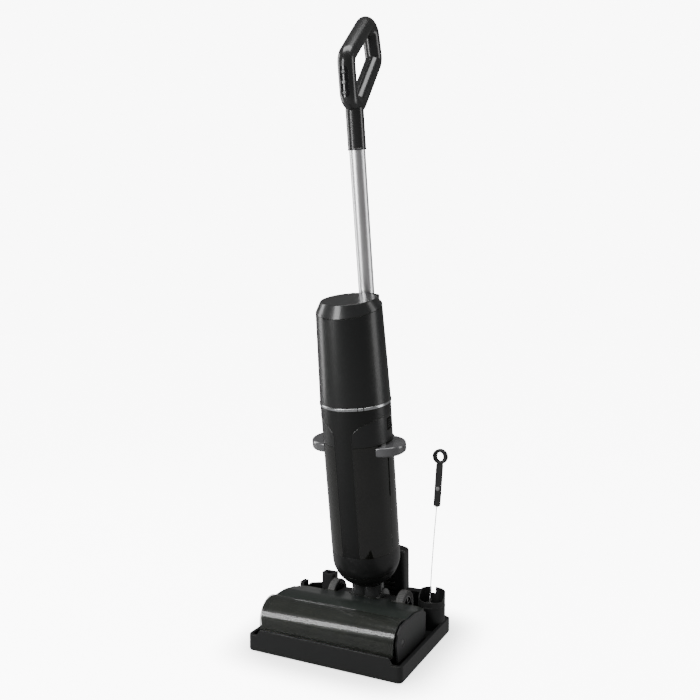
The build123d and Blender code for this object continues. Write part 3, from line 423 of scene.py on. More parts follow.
@dataclass(frozen=True)
class Pile(Finish):
    """Short pile or bristle with fibres of two colours."""

    second: Colour = (0.02, 0.02, 0.015)
    fibre: float = 700.0

    def build(self) -> bpy.types.Material:
        """Makes the material.

        Returns:
            The new material.
        """
        g = Graph(self.name)
        fibres = g.voronoi(self.fibre)
        clumps = g.noise(60.0, 4.0, distort=1.0)
        height = fibres * 0.7 + clumps * 0.6
        return g.close(
            {
                "Base Color": g.blend(g.step(clumps + fibres * 0.5, 0.35, 0.95), self.colour, self.second),
                "Roughness": clumps * 0.1 + self.rough,
                "Sheen Weight": 0.4,
                "Normal": g.bump(height, 0.0008, 0.8),
            }
        )


@dataclass(frozen=True)
class Tread(Finish):
    """Wheel rubber with fine ribs across its rim, the grooves between the ribs painted darker as shade."""

    ribs: float = 46.0

    def build(self) -> bpy.types.Material:
        """Makes the material.

        Returns:
            The new material.
        """
        g = Graph(self.name)
        at = g.placed(AXLE, (0.0, 0.0, 0.0), (1.0, 1.0, 1.0))
        split = g.node("ShaderNodeSeparateXYZ", {}, {0: at})
        angle = g.node(
            "ShaderNodeMath", {"operation": "ARCTAN2"}, {0: split.outputs[2], 1: split.outputs[1]}
        )
        wave = g.node(
            "ShaderNodeMath", {"operation": "SINE"}, {0: Sig(g, angle.outputs[0]) * self.ribs}
        )
        rib = g.step(Sig(g, wave.outputs[0]), -0.3, 0.5)
        dust = g.noise(160.0, 4.0)
        return g.close(
            {
                # Painted shade: the base colour is darker in the grooves between the ribs, with random dusty
                # tone mixed in.
                "Base Color": g.blend(rib * 0.6 + dust * 0.4, lighter(self.colour, 0.6), self.colour),
                "Roughness": dust * 0.2 + self.rough,
                "Normal": g.bump(rib + dust * 0.1, 0.0006, 0.8, 0.0006),
            }
        )


class Paint(Enum):
    """Every finish that the object wears."""

    DOCK = Moulded("dock_plastic", (0.0125, 0.013, 0.013), 0.42, grain=900.0, grain_depth=0.0001, edge=0.0012)
    SHELL = Moulded("body_plastic", (0.0115, 0.0118, 0.0118), 0.33, edge=0.0006, coat=0.12)
    PILLAR = Moulded("pillar_plastic", (0.005, 0.0052, 0.005), 0.34, edge=0.0006)
    CAP = Moulded("cap_plastic", (0.018, 0.0185, 0.0185), 0.30, grain_depth=0.00002, edge=0.0010, coat=0.35)
    NECK = Moulded("neck_plastic", (0.045, 0.046, 0.046), 0.22, grain_depth=0.00002, edge=0.0008, coat=0.7)
    LATCH = Moulded("latch_plastic", (0.002, 0.002, 0.002), 0.6, edge=0.0005, specular=0.1)
    HANDLE = Moulded("handle_plastic", (0.017, 0.0172, 0.0172), 0.28, edge=0.0004, coat=0.45)
    HEAD = Moulded("head_plastic", (0.021, 0.0255, 0.0225), 0.30, edge=0.0012, coat=0.15)
    CHASSIS = Moulded("chassis_plastic", (0.035, 0.036, 0.036), 0.42, edge=0.001)
    GLOSS = Moulded("gloss_plastic", (0.006, 0.006, 0.0065), 0.12, grain=500.0, grain_depth=0.00001, coat=0.5)
    RUBBER = Moulded("black_rubber", (0.012, 0.012, 0.012), 0.72, grain=700.0, grain_depth=0.0002)
    BOARD = Moulded("board_green", (0.01, 0.05, 0.02), 0.45, grain=260.0)
    WRAP = Moulded("cell_wrap", (0.02, 0.05, 0.12), 0.25, grain=200.0)
    KEY = Moulded("key_plastic", (0.045, 0.047, 0.048), 0.42)
    MARK = Moulded("key_mark", (0.62, 0.63, 0.62), 0.5)
    GREY = Moulded("rivet_grey", (0.20, 0.20, 0.20), 0.4)
    TANK = Smoked("tank_clear", (0.005, 0.005, 0.0038), 0.05, body=0.945, rim=0.05, coat=0.3)
    COVER = Smoked("cover_clear", (0.03, 0.033, 0.029), 0.17, body=0.52, coat=0.45)
    INNER = Smoked("inner_tank_clear", (0.016, 0.016, 0.013), 0.12, body=0.97, rim=0.05)
    HOOP = Smoked("hoop_frosted", (0.10, 0.10, 0.104), 0.16, body=0.985, rim=0.02, coat=0.9)
    TUBE = Metal("tube_satin", (0.80, 0.80, 0.81), 0.34)
    RING = Metal("ring_plated", (0.50, 0.51, 0.52), 0.18, lines=(40.0, 40.0, 2200.0))
    STEEL = Metal("drawn_steel", (0.55, 0.55, 0.56), 0.3)
    BRASS = Metal("pin_brass", (0.72, 0.55, 0.25), 0.28)
    NAP = Pile("roller_pile", (0.15, 0.135, 0.07), 0.92)
    BRISTLE = Pile("nylon_bristle", (0.10, 0.10, 0.10), 0.6, second=(0.03, 0.03, 0.03))
    FILTER = Pile("filter_foam", (0.10, 0.10, 0.095), 0.95, second=(0.04, 0.04, 0.04), fibre=500.0)
    TYRE = Tread("tyre_rubber", (0.115, 0.115, 0.113), 0.62)

    def material(self) -> bpy.types.Material:
        """The finish's material, made once.

        Returns:
            The material.
        """
        made = bpy.data.materials.get(self.value.name)
        return made or self.value.build()


def dress(paint: Paint, *nodes: str) -> None:
    """Gives CAD nodes a finish.

    Args:
        paint: the finish.
        nodes: names of the nodes.
    """
    for node in nodes:
        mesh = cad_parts[node].data
        if not mesh.materials:
            mesh.materials.append(None)
        for index in range(len(mesh.materials)):
            mesh.materials[index] = paint.material()
        log.info("dressed %s in %s", node, paint.value.name)


# ---------------------------------------------------------------- mesh forms


class Form:
    """A mesh that bmesh operators shape and that is then set down as a finished piece."""

    def __init__(self) -> None:
        """Starts an empty mesh."""
        self.bm = bmesh.new()

    def block(self, size: Sequence[float], at: Matrix, bevel: float) -> "Form":
        """Adds a block with rounded edges.

        Args:
            size: its three sides.
            at: where it goes.
            bevel: radius of its edges.

        Returns:
            The form itself.
        """
        made = bmesh.ops.create_cube(self.bm, size=1.0)["verts"]
        bmesh.ops.scale(self.bm, vec=Vector(size), verts=made)
        edges = list({edge for vert in made for edge in vert.link_edges})
        result = bmesh.ops.bevel(
            self.bm,
            geom=edges,
            offset=bevel,
            affect="EDGES",
            segments=BEVEL_FACES,
            profile=0.5,
            material=-1,
        )
        made = list({vert for face in result["faces"] for vert in face.verts})
        linked = set(made)
        for vert in made:
            linked.update(other for face in vert.link_faces for other in face.verts)
        made = list(linked)
        bmesh.ops.transform(self.bm, matrix=at, verts=made)
        return self

    def ring(
        self,
        profile: Sequence[tuple[float, float]],
        at: Matrix,
        steps: int = 64,
        turn: float = math.tau,
    ) -> "Form":
        """Adds a closed profile of radius and height turned about the Z axis.

        Args:
            profile: points of the closed profile.
            at: where it goes.
            steps: faces round it.
            turn: the angle it is turned through.

        Returns:
            The form itself.
        """
        verts = [self.bm.verts.new((radius, 0.0, height)) for radius, height in profile]
        edges = [self.bm.edges.new((verts[i], verts[(i + 1) % len(verts)])) for i in range(len(verts))]
        full = turn >= math.tau - 1e-6
        before = set(self.bm.verts) - set(verts)
        geom: list[Any] = verts + edges
        if not full:
            geom.append(bmesh.ops.contextual_create(self.bm, geom=edges)["faces"][0])
        bmesh.ops.spin(
            self.bm,
            geom=geom,
            cent=(0.0, 0.0, 0.0),
            axis=(0.0, 0.0, 1.0),
            dvec=(0.0, 0.0, 0.0),
            angle=turn,
            steps=steps,
            use_merge=full,
            use_duplicate=False,
        )
        made = [vert for vert in self.bm.verts if vert not in before]
        bmesh.ops.transform(self.bm, matrix=at, verts=made)
        return self

    def tube(self, points: Sequence[Vector], radius: float, sides: int) -> "Form":
        """Adds a bar along a line of points, closed at both ends.

        Args:
            points: the line.
            radius: its radius.
            sides: faces round it.

        Returns:
            The form itself.
        """

        def frame_at(index: int) -> Matrix:
            """Matrix of the cross section at one point."""
            ahead = points[min(index + 1, len(points) - 1)] - points[max(index - 1, 0)]
            turn = ahead.to_track_quat("Z", "Y").to_matrix().to_4x4()
            return Matrix.Translation(points[index]) @ turn @ Matrix.Scale(radius, 4)

        here = frame_at(0)
        made = bmesh.ops.create_circle(self.bm, cap_ends=True, segments=sides, radius=1.0, matrix=here)
        edges = list({edge for vert in made["verts"] for edge in vert.link_edges})
        for index in range(1, len(points)):
            grown = bmesh.ops.extrude_edge_only(self.bm, edges=edges)["geom"]
            verts = [item for item in grown if isinstance(item, bmesh.types.BMVert)]
            edges = [
                item
                for item in grown
                if isinstance(item, bmesh.types.BMEdge) and all(vert in verts for vert in item.verts)
            ]
            there = frame_at(index)
            bmesh.ops.transform(self.bm, matrix=there @ here.inverted(), verts=verts)
            here = there
        bmesh.ops.contextual_create(self.bm, geom=edges)
        return self

    def place(self, at: Matrix) -> "Form":
        """Moves the whole form.

        Args:
            at: the matrix that moves it.

        Returns:
            The form itself.
        """
        bmesh.ops.transform(self.bm, matrix=at, verts=self.bm.verts)
        return self

    def finish(self, name: str, body: str, paint: Paint, slot: Slot) -> bpy.types.Object:
        """Sets the form down as a piece that rides on a body.

        Args:
            name: the piece's name.
            body: the body it rides on.
            paint: its finish.
            slot: not used.

        Returns:
            The new object.
        """
        bmesh.ops.remove_doubles(self.bm, verts=self.bm.verts, dist=WELD)
        bmesh.ops.recalc_face_normals(self.bm, faces=self.bm.faces)
        for face in self.bm.faces:
            face.smooth = True
        for edge in self.bm.edges:
            edge.smooth = len(edge.link_faces) == 2 and edge.calc_face_angle(0.0) < SMOOTH_ANGLE
        mesh = bpy.data.meshes.new(name)
        self.bm.to_mesh(mesh)
        self.bm.free()
        mesh.materials.append(paint.material())
        piece = bpy.data.objects.new(name, mesh)
        bpy.context.scene.collection.objects.link(piece)
        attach(piece, body)
        log.info("made %s on %s, %d faces", name, body, len(mesh.polygons))
        return piece


def at_body(x: float, back: float, up: float) -> Matrix:
    """Matrix of the body's axes with the origin at a point, given in millimetres."""
    return BODY @ Matrix.Translation((x * MM, back * MM, up * MM))


FACE_BACK = Matrix.Rotation(-math.pi / 2, 4, "X")
FACE_FRONT = Matrix.Rotation(math.pi / 2, 4, "X")
FACE_RIGHT = Matrix.Rotation(math.pi / 2, 4, "Y")


def mm(points: Iterable[tuple[float, float]]) -> list[tuple[float, float]]:
    """Profile points from millimetres to metres."""
    return [(a * MM, b * MM) for a, b in points]


def screw_profile(radius: float) -> list[tuple[float, float]]:
    """Half section of a screw head with a hollow in its middle."""
    return mm(
        [
            (0.0, -0.6),
            (radius, -0.6),
            (radius, 0.1),
            (radius * 0.82, 0.45),
            (radius * 0.42, 0.5),
            (radius * 0.38, -0.2),
            (0.0, -0.2),
        ]
    )


# ---------------------------------------------------------------- studio


@dataclass
class Studio:
    """Camera, floor with a painted shadow, and soft light."""

    eye: Vector = field(default_factory=lambda: Vector((0.6340, -1.3314, 0.6351)))
    right: Vector = field(default_factory=lambda: Vector((0.89766, 0.44067, 0.00467)))
    up: Vector = field(default_factory=lambda: Vector((-0.03496, 0.06064, 0.99755)))
    ahead: Vector = field(default_factory=lambda: Vector((-0.43931, 0.89562, -0.06984)))
    lens: float = 41.94
    aim: Vector = field(default_factory=lambda: Vector((0.0, 0.0, 0.5)))
    surround: float = 0.12
    backdrop: float = 9.0
    # Middle and half sizes of the shadow painted on the floor round the dock, in metres.
    shade_middle: float = -0.01
    shade_across: float = 0.155
    shade_along: float = 0.15

    def build(self) -> None:
        """Makes the camera, the world, the lamps and the floor."""
        self.camera()
        self.world()
        self.floor()
        side = Vector((self.right.x, self.right.y, 0.0)).normalized()
        front = -Vector((self.ahead.x, self.ahead.y, 0.0)).normalized()
        left = self.aim - side * 1.55 - front * 0.75 + Vector((0.0, 0.0, 0.35))
        self.lamp("left_strip", left, (0.5, 2.2), 20.0)
        right = self.aim + side * 1.7 + front * 0.15 + Vector((0.0, 0.0, 0.2))
        self.lamp("right_strip", right, (0.6, 2.0), 12.0)
        top = self.aim + front * 0.35 + Vector((0.0, 0.0, 1.7))
        self.lamp("top_panel", top, (1.6, 0.7), 24.0)

        head = Vector((0.0, -0.1, 0.06))
        slant = Vector((0.617, 0.256, 0.743))
        self.lamp("low_strip", Vector((-0.66, -1.29, 0.79)), (0.36, 1.3), 20.0, head, slant)

    def camera(self) -> None:
        """Makes the camera."""
        data = bpy.data.cameras.new("camera")
        data.lens = self.lens
        data.sensor_width = 36.0
        data.dof.use_dof = False
        made = bpy.data.objects.new("camera", data)
        turn = Matrix((self.right, self.up, -self.ahead)).transposed()
        made.matrix_world = Matrix.Translation(self.eye) @ turn.to_4x4()
        bpy.context.scene.collection.objects.link(made)
        bpy.context.scene.camera = made

    def world(self) -> None:
        """Makes a white surround, dimmer as light than as backdrop."""
        world = bpy.data.worlds.new("surround")
        world.use_nodes = True
        tree = world.node_tree
        tree.nodes.clear()
        path = tree.nodes.new("ShaderNodeLightPath")
        seen = tree.nodes.new("ShaderNodeBackground")
        seen.inputs[0].default_value = (1.0, 1.0, 1.0, 1.0)
        seen.inputs[1].default_value = self.backdrop
        lit = tree.nodes.new("ShaderNodeBackground")
        lit.inputs[0].default_value = (1.0, 1.0, 1.0, 1.0)
        lit.inputs[1].default_value = self.surround
        mix = tree.nodes.new("ShaderNodeMixShader")
        out = tree.nodes.new("ShaderNodeOutputWorld")
        tree.links.new(path.outputs["Is Camera Ray"], mix.inputs[0])
        tree.links.new(lit.outputs[0], mix.inputs[1])
        tree.links.new(seen.outputs[0], mix.inputs[2])
        tree.links.new(mix.outputs[0], out.inputs[0])
        bpy.context.scene.world = world

    def lamp(
        self,
        name: str,
        at: Vector,
        size: tuple[float, float],
        power: float,
        aim: Vector | None = None,
        along: Vector | None = None,
    ) -> None:
        """Adds a soft panel that faces the object.

        Args:
            name: its name.
            at: where it stands.
            size: width and height.
            power: watts.
            aim: the point it faces, or None for the middle of the object.
            along: direction of its height, or None for upright.
        """
        data = bpy.data.lights.new(name, "AREA")
        data.shape = "RECTANGLE"
        data.size, data.size_y = size
        data.energy = power
        made = bpy.data.objects.new(name, data)
        ahead = -((aim or self.aim) - at).normalized()
        side = (along or Vector((0.0, 0.0, 1.0))).cross(ahead).normalized()
        turn = Matrix((side, ahead.cross(side), ahead)).transposed().to_4x4()
        made.matrix_world = Matrix.Translation(at) @ turn
        bpy.context.scene.collection.objects.link(made)

    def floor(self) -> None:
        """Makes the pale floor, with a painted shadow round the dock."""
        form = bmesh.new()
        bmesh.ops.create_grid(form, x_segments=2, y_segments=2, size=9.0)
        mesh = bpy.data.meshes.new("floor")
        form.to_mesh(mesh)
        form.free()
        g = Graph("pale_floor")
        cloud = g.noise(3.0, 2.0)
        split = g.node("ShaderNodeSeparateXYZ", {}, {0: g.coords})
        # Distance from the dock's footprint, in footprint sizes, which sets the painted shadow.
        across = Sig(g, split.outputs[0]) * (1 / self.shade_across)
        along = (Sig(g, split.outputs[1]) - self.shade_middle) * (1 / self.shade_along)
        squared = across * across
        away = (squared * squared + along * along * along * along) ** 0.25
        seen = Sig(g, g.node("ShaderNodeLightPath").outputs["Is Camera Ray"])
        # Painted shadow: the floor's glow for the camera is a quarter of full near the dock and rises to full
        # between 0.95 and 1.55 footprint sizes out.
        glow_with_painted_shadow = seen * (g.step(away, 0.95, 1.55) * 0.75 + 0.25)
        paleness = seen * (cloud * 0.06 + 0.94)
        mesh.materials.append(
            g.close(
                {
                    "Base Color": g.blend(paleness, (0.20, 0.20, 0.20), (0.92, 0.92, 0.92)),
                    "Roughness": 0.9,
                    "Specular IOR Level": 0.1,
                    "Emission Color": g.blend(glow_with_painted_shadow, (0.02, 0.02, 0.02), (1.0, 1.0, 1.0)),
                    "Emission Strength": self.backdrop,
                }
            )
        )
        made = bpy.data.objects.new("floor", mesh)
        bpy.context.scene.collection.objects.link(made)


# ---------------------------------------------------------------- the object


@dataclass
class Dock:
    """The charging dock: tray, tower, cup and its small hardware."""

    body: str = "dock"
    rib_count: int = 7
    rib_pitch: float = 0.036
    rib_size: tuple[float, float, float] = (0.0016, 0.046, 0.0012)
    rib_middle: Vector = field(default_factory=lambda: Vector((0.0, -0.030, 0.0185)))
    band_foot: Vector = field(default_factory=lambda: Vector((0.1213, 0.0635, 0.058)))

    def build(self) -> None:
        """Dresses the dock and adds its small pieces."""
        dress(Paint.DOCK, "dock_tray", "dock_base_plate", "charging_tower", "brush_cup")
        dress(Paint.GLOSS, "power_inlet")
        dress(Paint.RUBBER, "dock_feet")
        dress(Paint.STEEL, "dock_screws")
        dress(Paint.BRASS, "charge_pins")
        self.trough_ribs()
        self.cup_band()

    def trough_ribs(self) -> None:
        """Low cross ribs on the tray floor between the wheels and the trough."""
        form = Form()
        for index in range(self.rib_count):
            x = (index - (self.rib_count - 1) / 2) * self.rib_pitch
            form.block(self.rib_size, Matrix.Translation(self.rib_middle + Vector((x, 0.0, 0.0))), 0.0004)
        form.finish("tray_ribs", self.body, Paint.DOCK, Slot.DOCK)

    def cup_band(self) -> None:
        """Raised band round the brush cup under its rim."""
        profile = mm([(24.9, 0.0), (25.5, 0.5), (25.5, 2.1), (24.9, 2.6)])
        form = Form().ring(profile, Matrix.Translation(self.band_foot), 72)
        form.finish("cup_band", self.body, Paint.DOCK, Slot.DOCK)


@dataclass
class CleaningBrush:
    """The small bottle brush that stands in the cup."""

    body: str = "cleaning_brush"
    lean: float = math.radians(3.4)
    foot: Vector = field(default_factory=lambda: Vector((0.1153, 0.0655, 0.026)))
    wire_low: float = 0.008
    wire_high: float = 0.226
    wire_bow: float = 0.0016
    strand: float = 0.00056
    strand_turns: int = 36
    rivet_up: float = 0.252
    eyelet_up: float = 0.312
    bristles: int = 760
    bristle_length: float = 0.0112
    golden_turn: float = 2.399
    seed: int = 11

    def frame(self) -> Matrix:
        """Matrix of the brush's own leaning axis."""
        return Matrix.Translation(self.foot) @ Matrix.Rotation(self.lean, 4, "Y")

    def build(self) -> None:
        """Dresses the handle and makes the wire, the bristles and the rivet."""
        dress(Paint.DOCK, "brush_handle")
        self.wire()
        self.tufts()
        self.rivet()
        self.eyelet_rim()

    def wire(self) -> None:
        """Two strands twisted round each other with a slight bow."""
        form = Form()
        steps = self.strand_turns * 10
        for start in (0.0, math.pi):
            line = []
            for index in range(steps + 1):
                share = index / steps
                angle = start + share * self.strand_turns * math.tau
                bow = math.sin(share * math.pi) * self.wire_bow
                up = self.wire_low + share * (self.wire_high - self.wire_low)
                line.append(Vector((math.cos(angle) * 0.0005 - bow, math.sin(angle) * 0.0005, up)))
            form.tube(line, self.strand, 6)
        piece = form.place(self.frame()).finish("twisted_wire", self.body, Paint.STEEL, Slot.STEEL)
        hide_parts("brush_wire")

    def tufts(self) -> None:
        """Nylon bristles that fan out from the wire in a spiral."""
        draw = random.Random(self.seed)
        form = Form()
        core = mm([(0.0, 0.5), (1.6, 0.5), (1.9, 3.0), (1.9, 39.0), (1.5, 42.0), (0.0, 42.0)])
        form.ring(core, Matrix(), 16)
        for index in range(self.bristles):
            share = index / self.bristles
            up = 0.003 + share * 0.031
            taper = min(1.0, 0.45 + 6.0 * min(share, 1.02 - share))
            length = self.bristle_length * (0.86 + 0.12 * draw.random()) * taper
            tilt = Matrix.Rotation(draw.uniform(-0.12, 0.12), 4, "Y")
            spin = Matrix.Rotation(index * self.golden_turn, 4, "Z") @ tilt
            out = Matrix.Rotation(math.pi / 2, 4, "Y") @ Matrix.Translation((0.0, 0.0, length / 2 + 0.0008))
            bmesh.ops.create_cone(
                form.bm,
                cap_ends=True,
                segments=4,
                radius1=0.00022,
                radius2=0.00014,
                depth=length,
                matrix=Matrix.Translation((0.0, 0.0, up)) @ spin @ out,
            )
        piece = form.place(self.frame()).finish("brush_tufts", self.body, Paint.BRISTLE, Slot.BRISTLE)
        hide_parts("brush_bristles")

    def rivet(self) -> None:
        """Grey rivet on the front of the handle."""
        at = self.frame() @ Matrix.Translation((0.0, -0.003, self.rivet_up)) @ FACE_FRONT
        profile = mm([(0.0, -0.4), (4.0, -0.4), (4.0, 0.3), (3.4, 0.6), (0.0, 0.7)])
        Form().ring(profile, at, 32).finish("brush_rivet", self.body, Paint.GREY, Slot.KEY)

    def eyelet_rim(self) -> None:
        """Rounded rim round the eyelet of the handle."""
        rim = mm([(9.2, -0.3), (9.2, 0.3), (10.0, 0.7), (12.6, 0.7), (13.4, 0.3), (13.4, -0.3)])
        form = Form()
        for side in (-1.0, 1.0):
            at = self.frame() @ Matrix.Translation((0.0, side * 0.003, self.eyelet_up)) @ FACE_FRONT
            form.ring(rim, at, 48)
        form.finish("eyelet_rim", self.body, Paint.DOCK, Slot.DOCK)


@dataclass
class FloorHead:
    """The floor head with its roller, cover and wheels."""

    body: str = "floor_head"
    roller: Vector = field(default_factory=lambda: Vector((0.0, -0.101, 0.0515)))
    nap_outer: float = 0.0312
    nap_inner: float = 0.02405
    nap_half: float = 0.120
    nap_rows: int = 110
    grip_middle: tuple[float, float] = (-0.022, 0.011)
    grip_half: float = 0.0545
    grip_end: float = 0.0078
    arch_z: float = 0.054
    arch_radius: float = 0.0356
    bead: float = 0.0005
    cap_face: float = 0.0753
    spokes: int = 6

    def build(self) -> None:
        """Dresses the head and adds its pile, the lighter bead round the grip that paints its edge highlight,
        and the wheel caps.
        """
        dress(Paint.CHASSIS, "head_chassis")
        dress(Paint.HEAD, "head_cover")
        dress(Paint.COVER, "roller_cover")
        dress(Paint.GLOSS, "cover_inserts", "roller_core", "roller_idle_cap", "roller_drive_hub")
        dress(Paint.GLOSS, "left_wheel_hub", "right_wheel_hub")
        dress(Paint.TYRE, "left_wheel_tyre", "right_wheel_tyre")
        dress(Paint.RUBBER, "scraper", "drive_belt")
        dress(Paint.STEEL, "roller_motor", "motor_pulley", "wheel_axles")
        dress(Paint.PILLAR, "suction_duct")
        dress(Paint.BRASS, "head_contacts")
        self.pile()
        self.grip_rim_highlight()
        self.wheel_caps()

    def pile(self) -> None:
        """Roller pile with tufts laid in a slow spiral."""
        pitch = 2 * self.nap_half / self.nap_rows
        side = [(self.nap_outer, -self.nap_half + index * pitch) for index in range(self.nap_rows + 1)]
        profile = [(self.nap_inner, self.nap_half), (self.nap_inner, -self.nap_half), *side]
        form = Form().ring(profile, Matrix(), 120)
        for vert in form.bm.verts:
            flat = Vector((vert.co.x, vert.co.y, 0.0))
            if flat.length < self.nap_inner + 0.002:
                continue
            angle = math.atan2(flat.y, flat.x)
            spiral = 0.5 + 0.5 * math.sin(angle * 3 + vert.co.z * 140.0)
            tuft = noise.noise(Vector((angle * 14.0, vert.co.z * 420.0, 3.1)))
            vert.co -= flat.normalized() * (0.0004 + 0.0005 * spiral + 0.0006 * (0.5 + 0.5 * tuft))
        at = Matrix.Translation(self.roller) @ FACE_RIGHT
        piece = form.place(at).finish("roller_pile", "roller", Paint.NAP, Slot.NAP)
        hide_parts("roller_nap")

    def grip_rim_highlight(self) -> None:
        """Fine raised bead round the grip opening of the roller cover, in a lighter glossy plastic that
        paints the highlight on the opening's edge.
        """
        line = []
        for index in range(73):
            turn = index * math.tau / 72
            end = math.copysign(self.grip_half, math.cos(turn))
            x = self.grip_middle[0] + end + self.grip_end * math.cos(turn)
            y = self.grip_middle[1] + self.grip_end * math.sin(turn)
            line.append(Vector((x, self.roller.y + y, self.arch_z + math.sqrt(self.arch_radius**2 - y**2))))
        # The bead's lighter glossy plastic is a painted highlight along the edge of the grip opening.
        Form().tube(line, self.bead, 8).finish("grip_rim_highlight", "roller_lid", Paint.NECK, Slot.SMOKED)

    def wheel_caps(self) -> None:
        """Domed cap at the middle of each wheel, with short spokes round it."""
        for side, name in ((-1.0, "left_wheel"), (1.0, "right_wheel")):
            turn = Matrix.Rotation(side * math.pi / 2, 4, "Y")
            at = Matrix.Translation((side * self.cap_face, AXLE.y, AXLE.z)) @ turn
            form = Form()
            form.ring(mm([(4.3, 0.0), (8.0, 0.0), (7.6, 1.4), (6.4, 2.0), (4.3, 2.1)]), at, 40)
            for index in range(self.spokes):
                spin = Matrix.Rotation(index * math.tau / self.spokes, 4, "Z")
                spoke = at @ spin @ Matrix.Translation((0.0133, 0.0, 0.0006))
                form.block((0.0105, 0.0022, 0.0018), spoke, 0.0005)
            form.finish(f"{name}_cap", name, Paint.GLOSS, Slot.GLOSS)


@dataclass
class MainBody:
    """Neck, bowl, spine, ring, upper housing and cap."""

    body: str = "main_body"
    ring_low: float = 396.3
    ring_high: float = 401.7
    ring_radius: float = 65.0
    tab_joints: tuple[float, float] = (-62.0, -52.5)
    spine_back: float = 95.0
    screw_stations: tuple[float, ...] = (150.0, 268.0, 386.0, 560.0)
    key_back: float = 95.9
    key_station: float = 466.0

    def build(self) -> None:
        """Dresses the body and adds the joints of the ring's tab, the screws and the ridges of the release
        key.
        """
        dress(Paint.NECK, "neck_yoke")
        dress(Paint.GLOSS, "fan", "water_pump", "release_key")
        dress(Paint.SHELL, "lower_shell", "upper_housing", "spine")
        dress(Paint.CAP, "top_cap")
        dress(Paint.RING, "trim_ring")
        dress(Paint.STEEL, "suction_motor")
        dress(Paint.WRAP, "battery_pack")
        dress(Paint.BOARD, "main_board")
        self.ring_tab()
        self.spine_screws()
        self.key_ridges()

    def ring_tab(self) -> None:
        """Dark joints at both ends of the short tab in the trim ring."""
        span = math.radians(1.1)
        form = Form()
        low, high, out = self.ring_low - 0.1, self.ring_high + 0.1, self.ring_radius
        profile = mm([(out - 2.0, low), (out + 0.25, low), (out + 0.25, high), (out - 2.0, high)])
        for start in self.tab_joints:
            at = BODY @ Matrix.Rotation(math.radians(start), 4, "Z")
            form.ring(profile, at, 4, span)
        form.finish("ring_tab", self.body, Paint.GLOSS, Slot.GLOSS)

    def spine_screws(self) -> None:
        """Screws down the back of the spine."""
        form = Form()
        for station in self.screw_stations:
            at = at_body(0.0, self.spine_back, station) @ FACE_BACK
            form.ring(screw_profile(3.2), at, 28)
        form.finish("spine_screws", self.body, Paint.STEEL, Slot.STEEL)

    def key_ridges(self) -> None:
        """Grip ridges on the release key."""
        form = Form()
        for offset in (-3.0, 0.0, 3.0):
            at = at_body(0.0, self.key_back, self.key_station + offset)
            form.block((0.013, 0.0010, 0.0010), at, 0.0003)
        form.finish("release_key_ridges", "release_button", Paint.GLOSS, Slot.GLOSS)


@dataclass
class Tank:
    """The dirty water tank with its pillar, lid, latches and hoop."""

    body: str = "tank"
    radius: float = 64.05
    pillar_half: float = 17.0
    low: float = 119.5
    bead: float = 0.00045
    latch_out: float = 63.0
    latch_station: float = 361.0

    def build(self) -> None:
        """Dresses the tank and adds the gaskets of its windows."""
        dress(Paint.PILLAR, "front_frame")
        dress(Paint.SHELL, "tank_lid")
        dress(Paint.TANK, "tank_vessel")
        dress(Paint.INNER, "clean_tank")
        dress(Paint.HOOP, "grip_hoop")
        dress(Paint.RUBBER, "tank_seal")
        dress(Paint.FILTER, "tank_filter")
        dress(Paint.GREY, "tank_float")
        dress(Paint.LATCH, "left_latch", "right_latch")
        self.gaskets()
        self.latch_ridges()

    def edge_line(self, side: float) -> list[Vector]:
        """Edge of the pillar and its flared collar on the tank's round face.

        Args:
            side: -1 for the left and 1 for the right.

        Returns:
            Points in the frame.
        """
        flat: list[tuple[float, float]] = [(self.pillar_half, self.low + index * 12.0) for index in range(20)]
        flat += [(17.0, 351.5), (17.9, 354.2), (20.0, 356.2), (26.5, 362.3), (33.0, 368.5)]
        flat += [(33.0 + step * 2.6, 368.5 + step * 0.91) for step in range(1, 12)]
        line = []
        for x, up in flat:
            if x < self.radius:
                back = -math.sqrt(self.radius**2 - x**2)
                line.append(BODY @ Vector((side * x * MM, back * MM, up * MM)))
        return line

    def gaskets(self) -> None:
        """Thin bright bead along both edges of the pillar."""
        form = Form()
        for side in (-1.0, 1.0):
            form.tube(self.edge_line(side), self.bead, 8)
        form.finish("window_beads", self.body, Paint.GLOSS, Slot.GLOSS)

    def latch_ridges(self) -> None:
        """Ridges on the two side latches."""
        for side, name in ((-1.0, "left_latch"), (1.0, "right_latch")):
            form = Form()
            for offset in (-6.0, -2.0, 2.0, 6.0):
                at = at_body(side * self.latch_out, 0.0, self.latch_station + offset)
                form.block((0.0010, 0.010, 0.0012), at, 0.0003)
            form.finish(f"{name}_ridges", f"{name}_button", Paint.GLOSS, Slot.GLOSS)


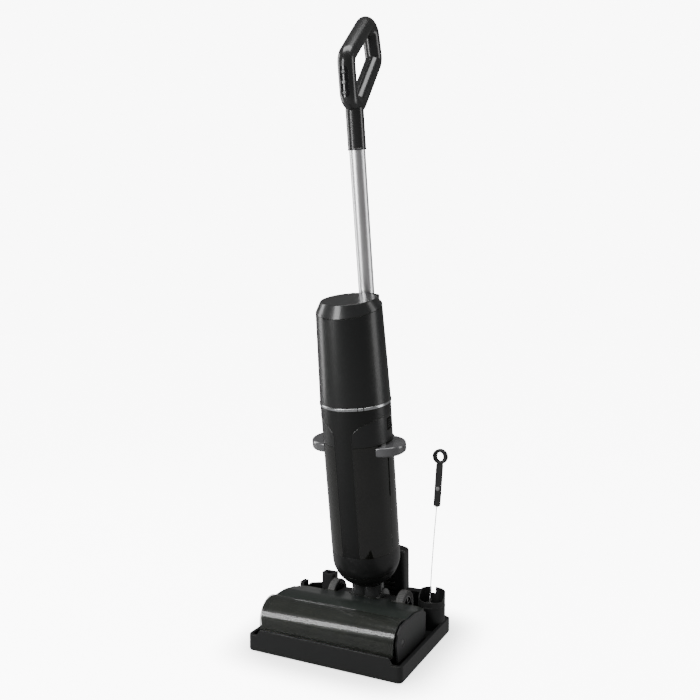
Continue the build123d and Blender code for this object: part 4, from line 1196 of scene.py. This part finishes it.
@dataclass
class Handle:
    """The alloy tube and the loop with its keys."""

    body: str = "handle"
    bar_back: float = 56.6
    bar_radius: float = 15.6
    tube_back: float = 76.6
    sleeve_low: float = 837.0
    stations: tuple[float, float, float] = (933.0, 950.0, 967.0)

    def build(self) -> None:
        """Dresses the tube and the loop, and adds the marks and the collar."""
        dress(Paint.TUBE, "handle_tube")
        dress(Paint.HANDLE, "handle_shell_left", "handle_shell_right")
        dress(Paint.GLOSS, "control_strip")
        dress(Paint.KEY, "mode_key", "clean_key", "power_key")
        dress(Paint.BOARD, "handle_board")
        self.key_marks()
        self.sleeve_band()

    def key_marks(self) -> None:
        """A pale ring or dot on each key."""
        face = self.bar_back - self.bar_radius - 0.9
        for station, name in zip(self.stations, ("mode", "clean", "power")):
            at = at_body(0.0, face, station) @ FACE_FRONT
            form = Form()
            if name == "clean":
                form.ring(mm([(1.5, -0.1), (2.5, -0.1), (2.5, 0.12), (1.5, 0.12)]), at, 32)
                form.ring(mm([(0.0, -0.1), (0.7, -0.1), (0.7, 0.12), (0.0, 0.12)]), at, 20)
            elif name == "mode":
                form.ring(mm([(1.3, -0.1), (1.8, -0.1), (1.8, 0.1), (1.3, 0.1)]), at, 32)
            else:
                form.ring(mm([(1.3, -0.1), (1.8, -0.1), (1.8, 0.1), (1.3, 0.1)]), at, 32, math.tau * 0.8)
                form.block((0.0004, 0.0018, 0.0002), at @ Matrix.Translation((0.0, 0.0009, 0.0)), 0.00005)
            form.finish(f"{name}_mark", f"{name}_button", Paint.MARK, Slot.KEY)

    def sleeve_band(self) -> None:
        """Rounded lip at the lower end of the handle's sleeve."""
        at = at_body(0.0, self.tube_back, self.sleeve_low)
        profile = mm([(14.6, 0.0), (16.3, 0.0), (16.7, 0.6), (16.7, 2.2), (16.2, 2.8), (14.6, 2.8)])
        Form().ring(profile, at, 56).finish("sleeve_lip", self.body, Paint.HANDLE, Slot.SHELL)


def main() -> None:
    """Builds the studio and every sub-assembly."""
    logging.basicConfig(level=logging.INFO, format="%(name)s: %(message)s")
    for part in (Studio(), Dock(), CleaningBrush(), FloorHead(), MainBody(), Tank(), Handle()):
        log.info("building %s", type(part).__name__)
        part.build()


if __name__ == "__main__":
    main()
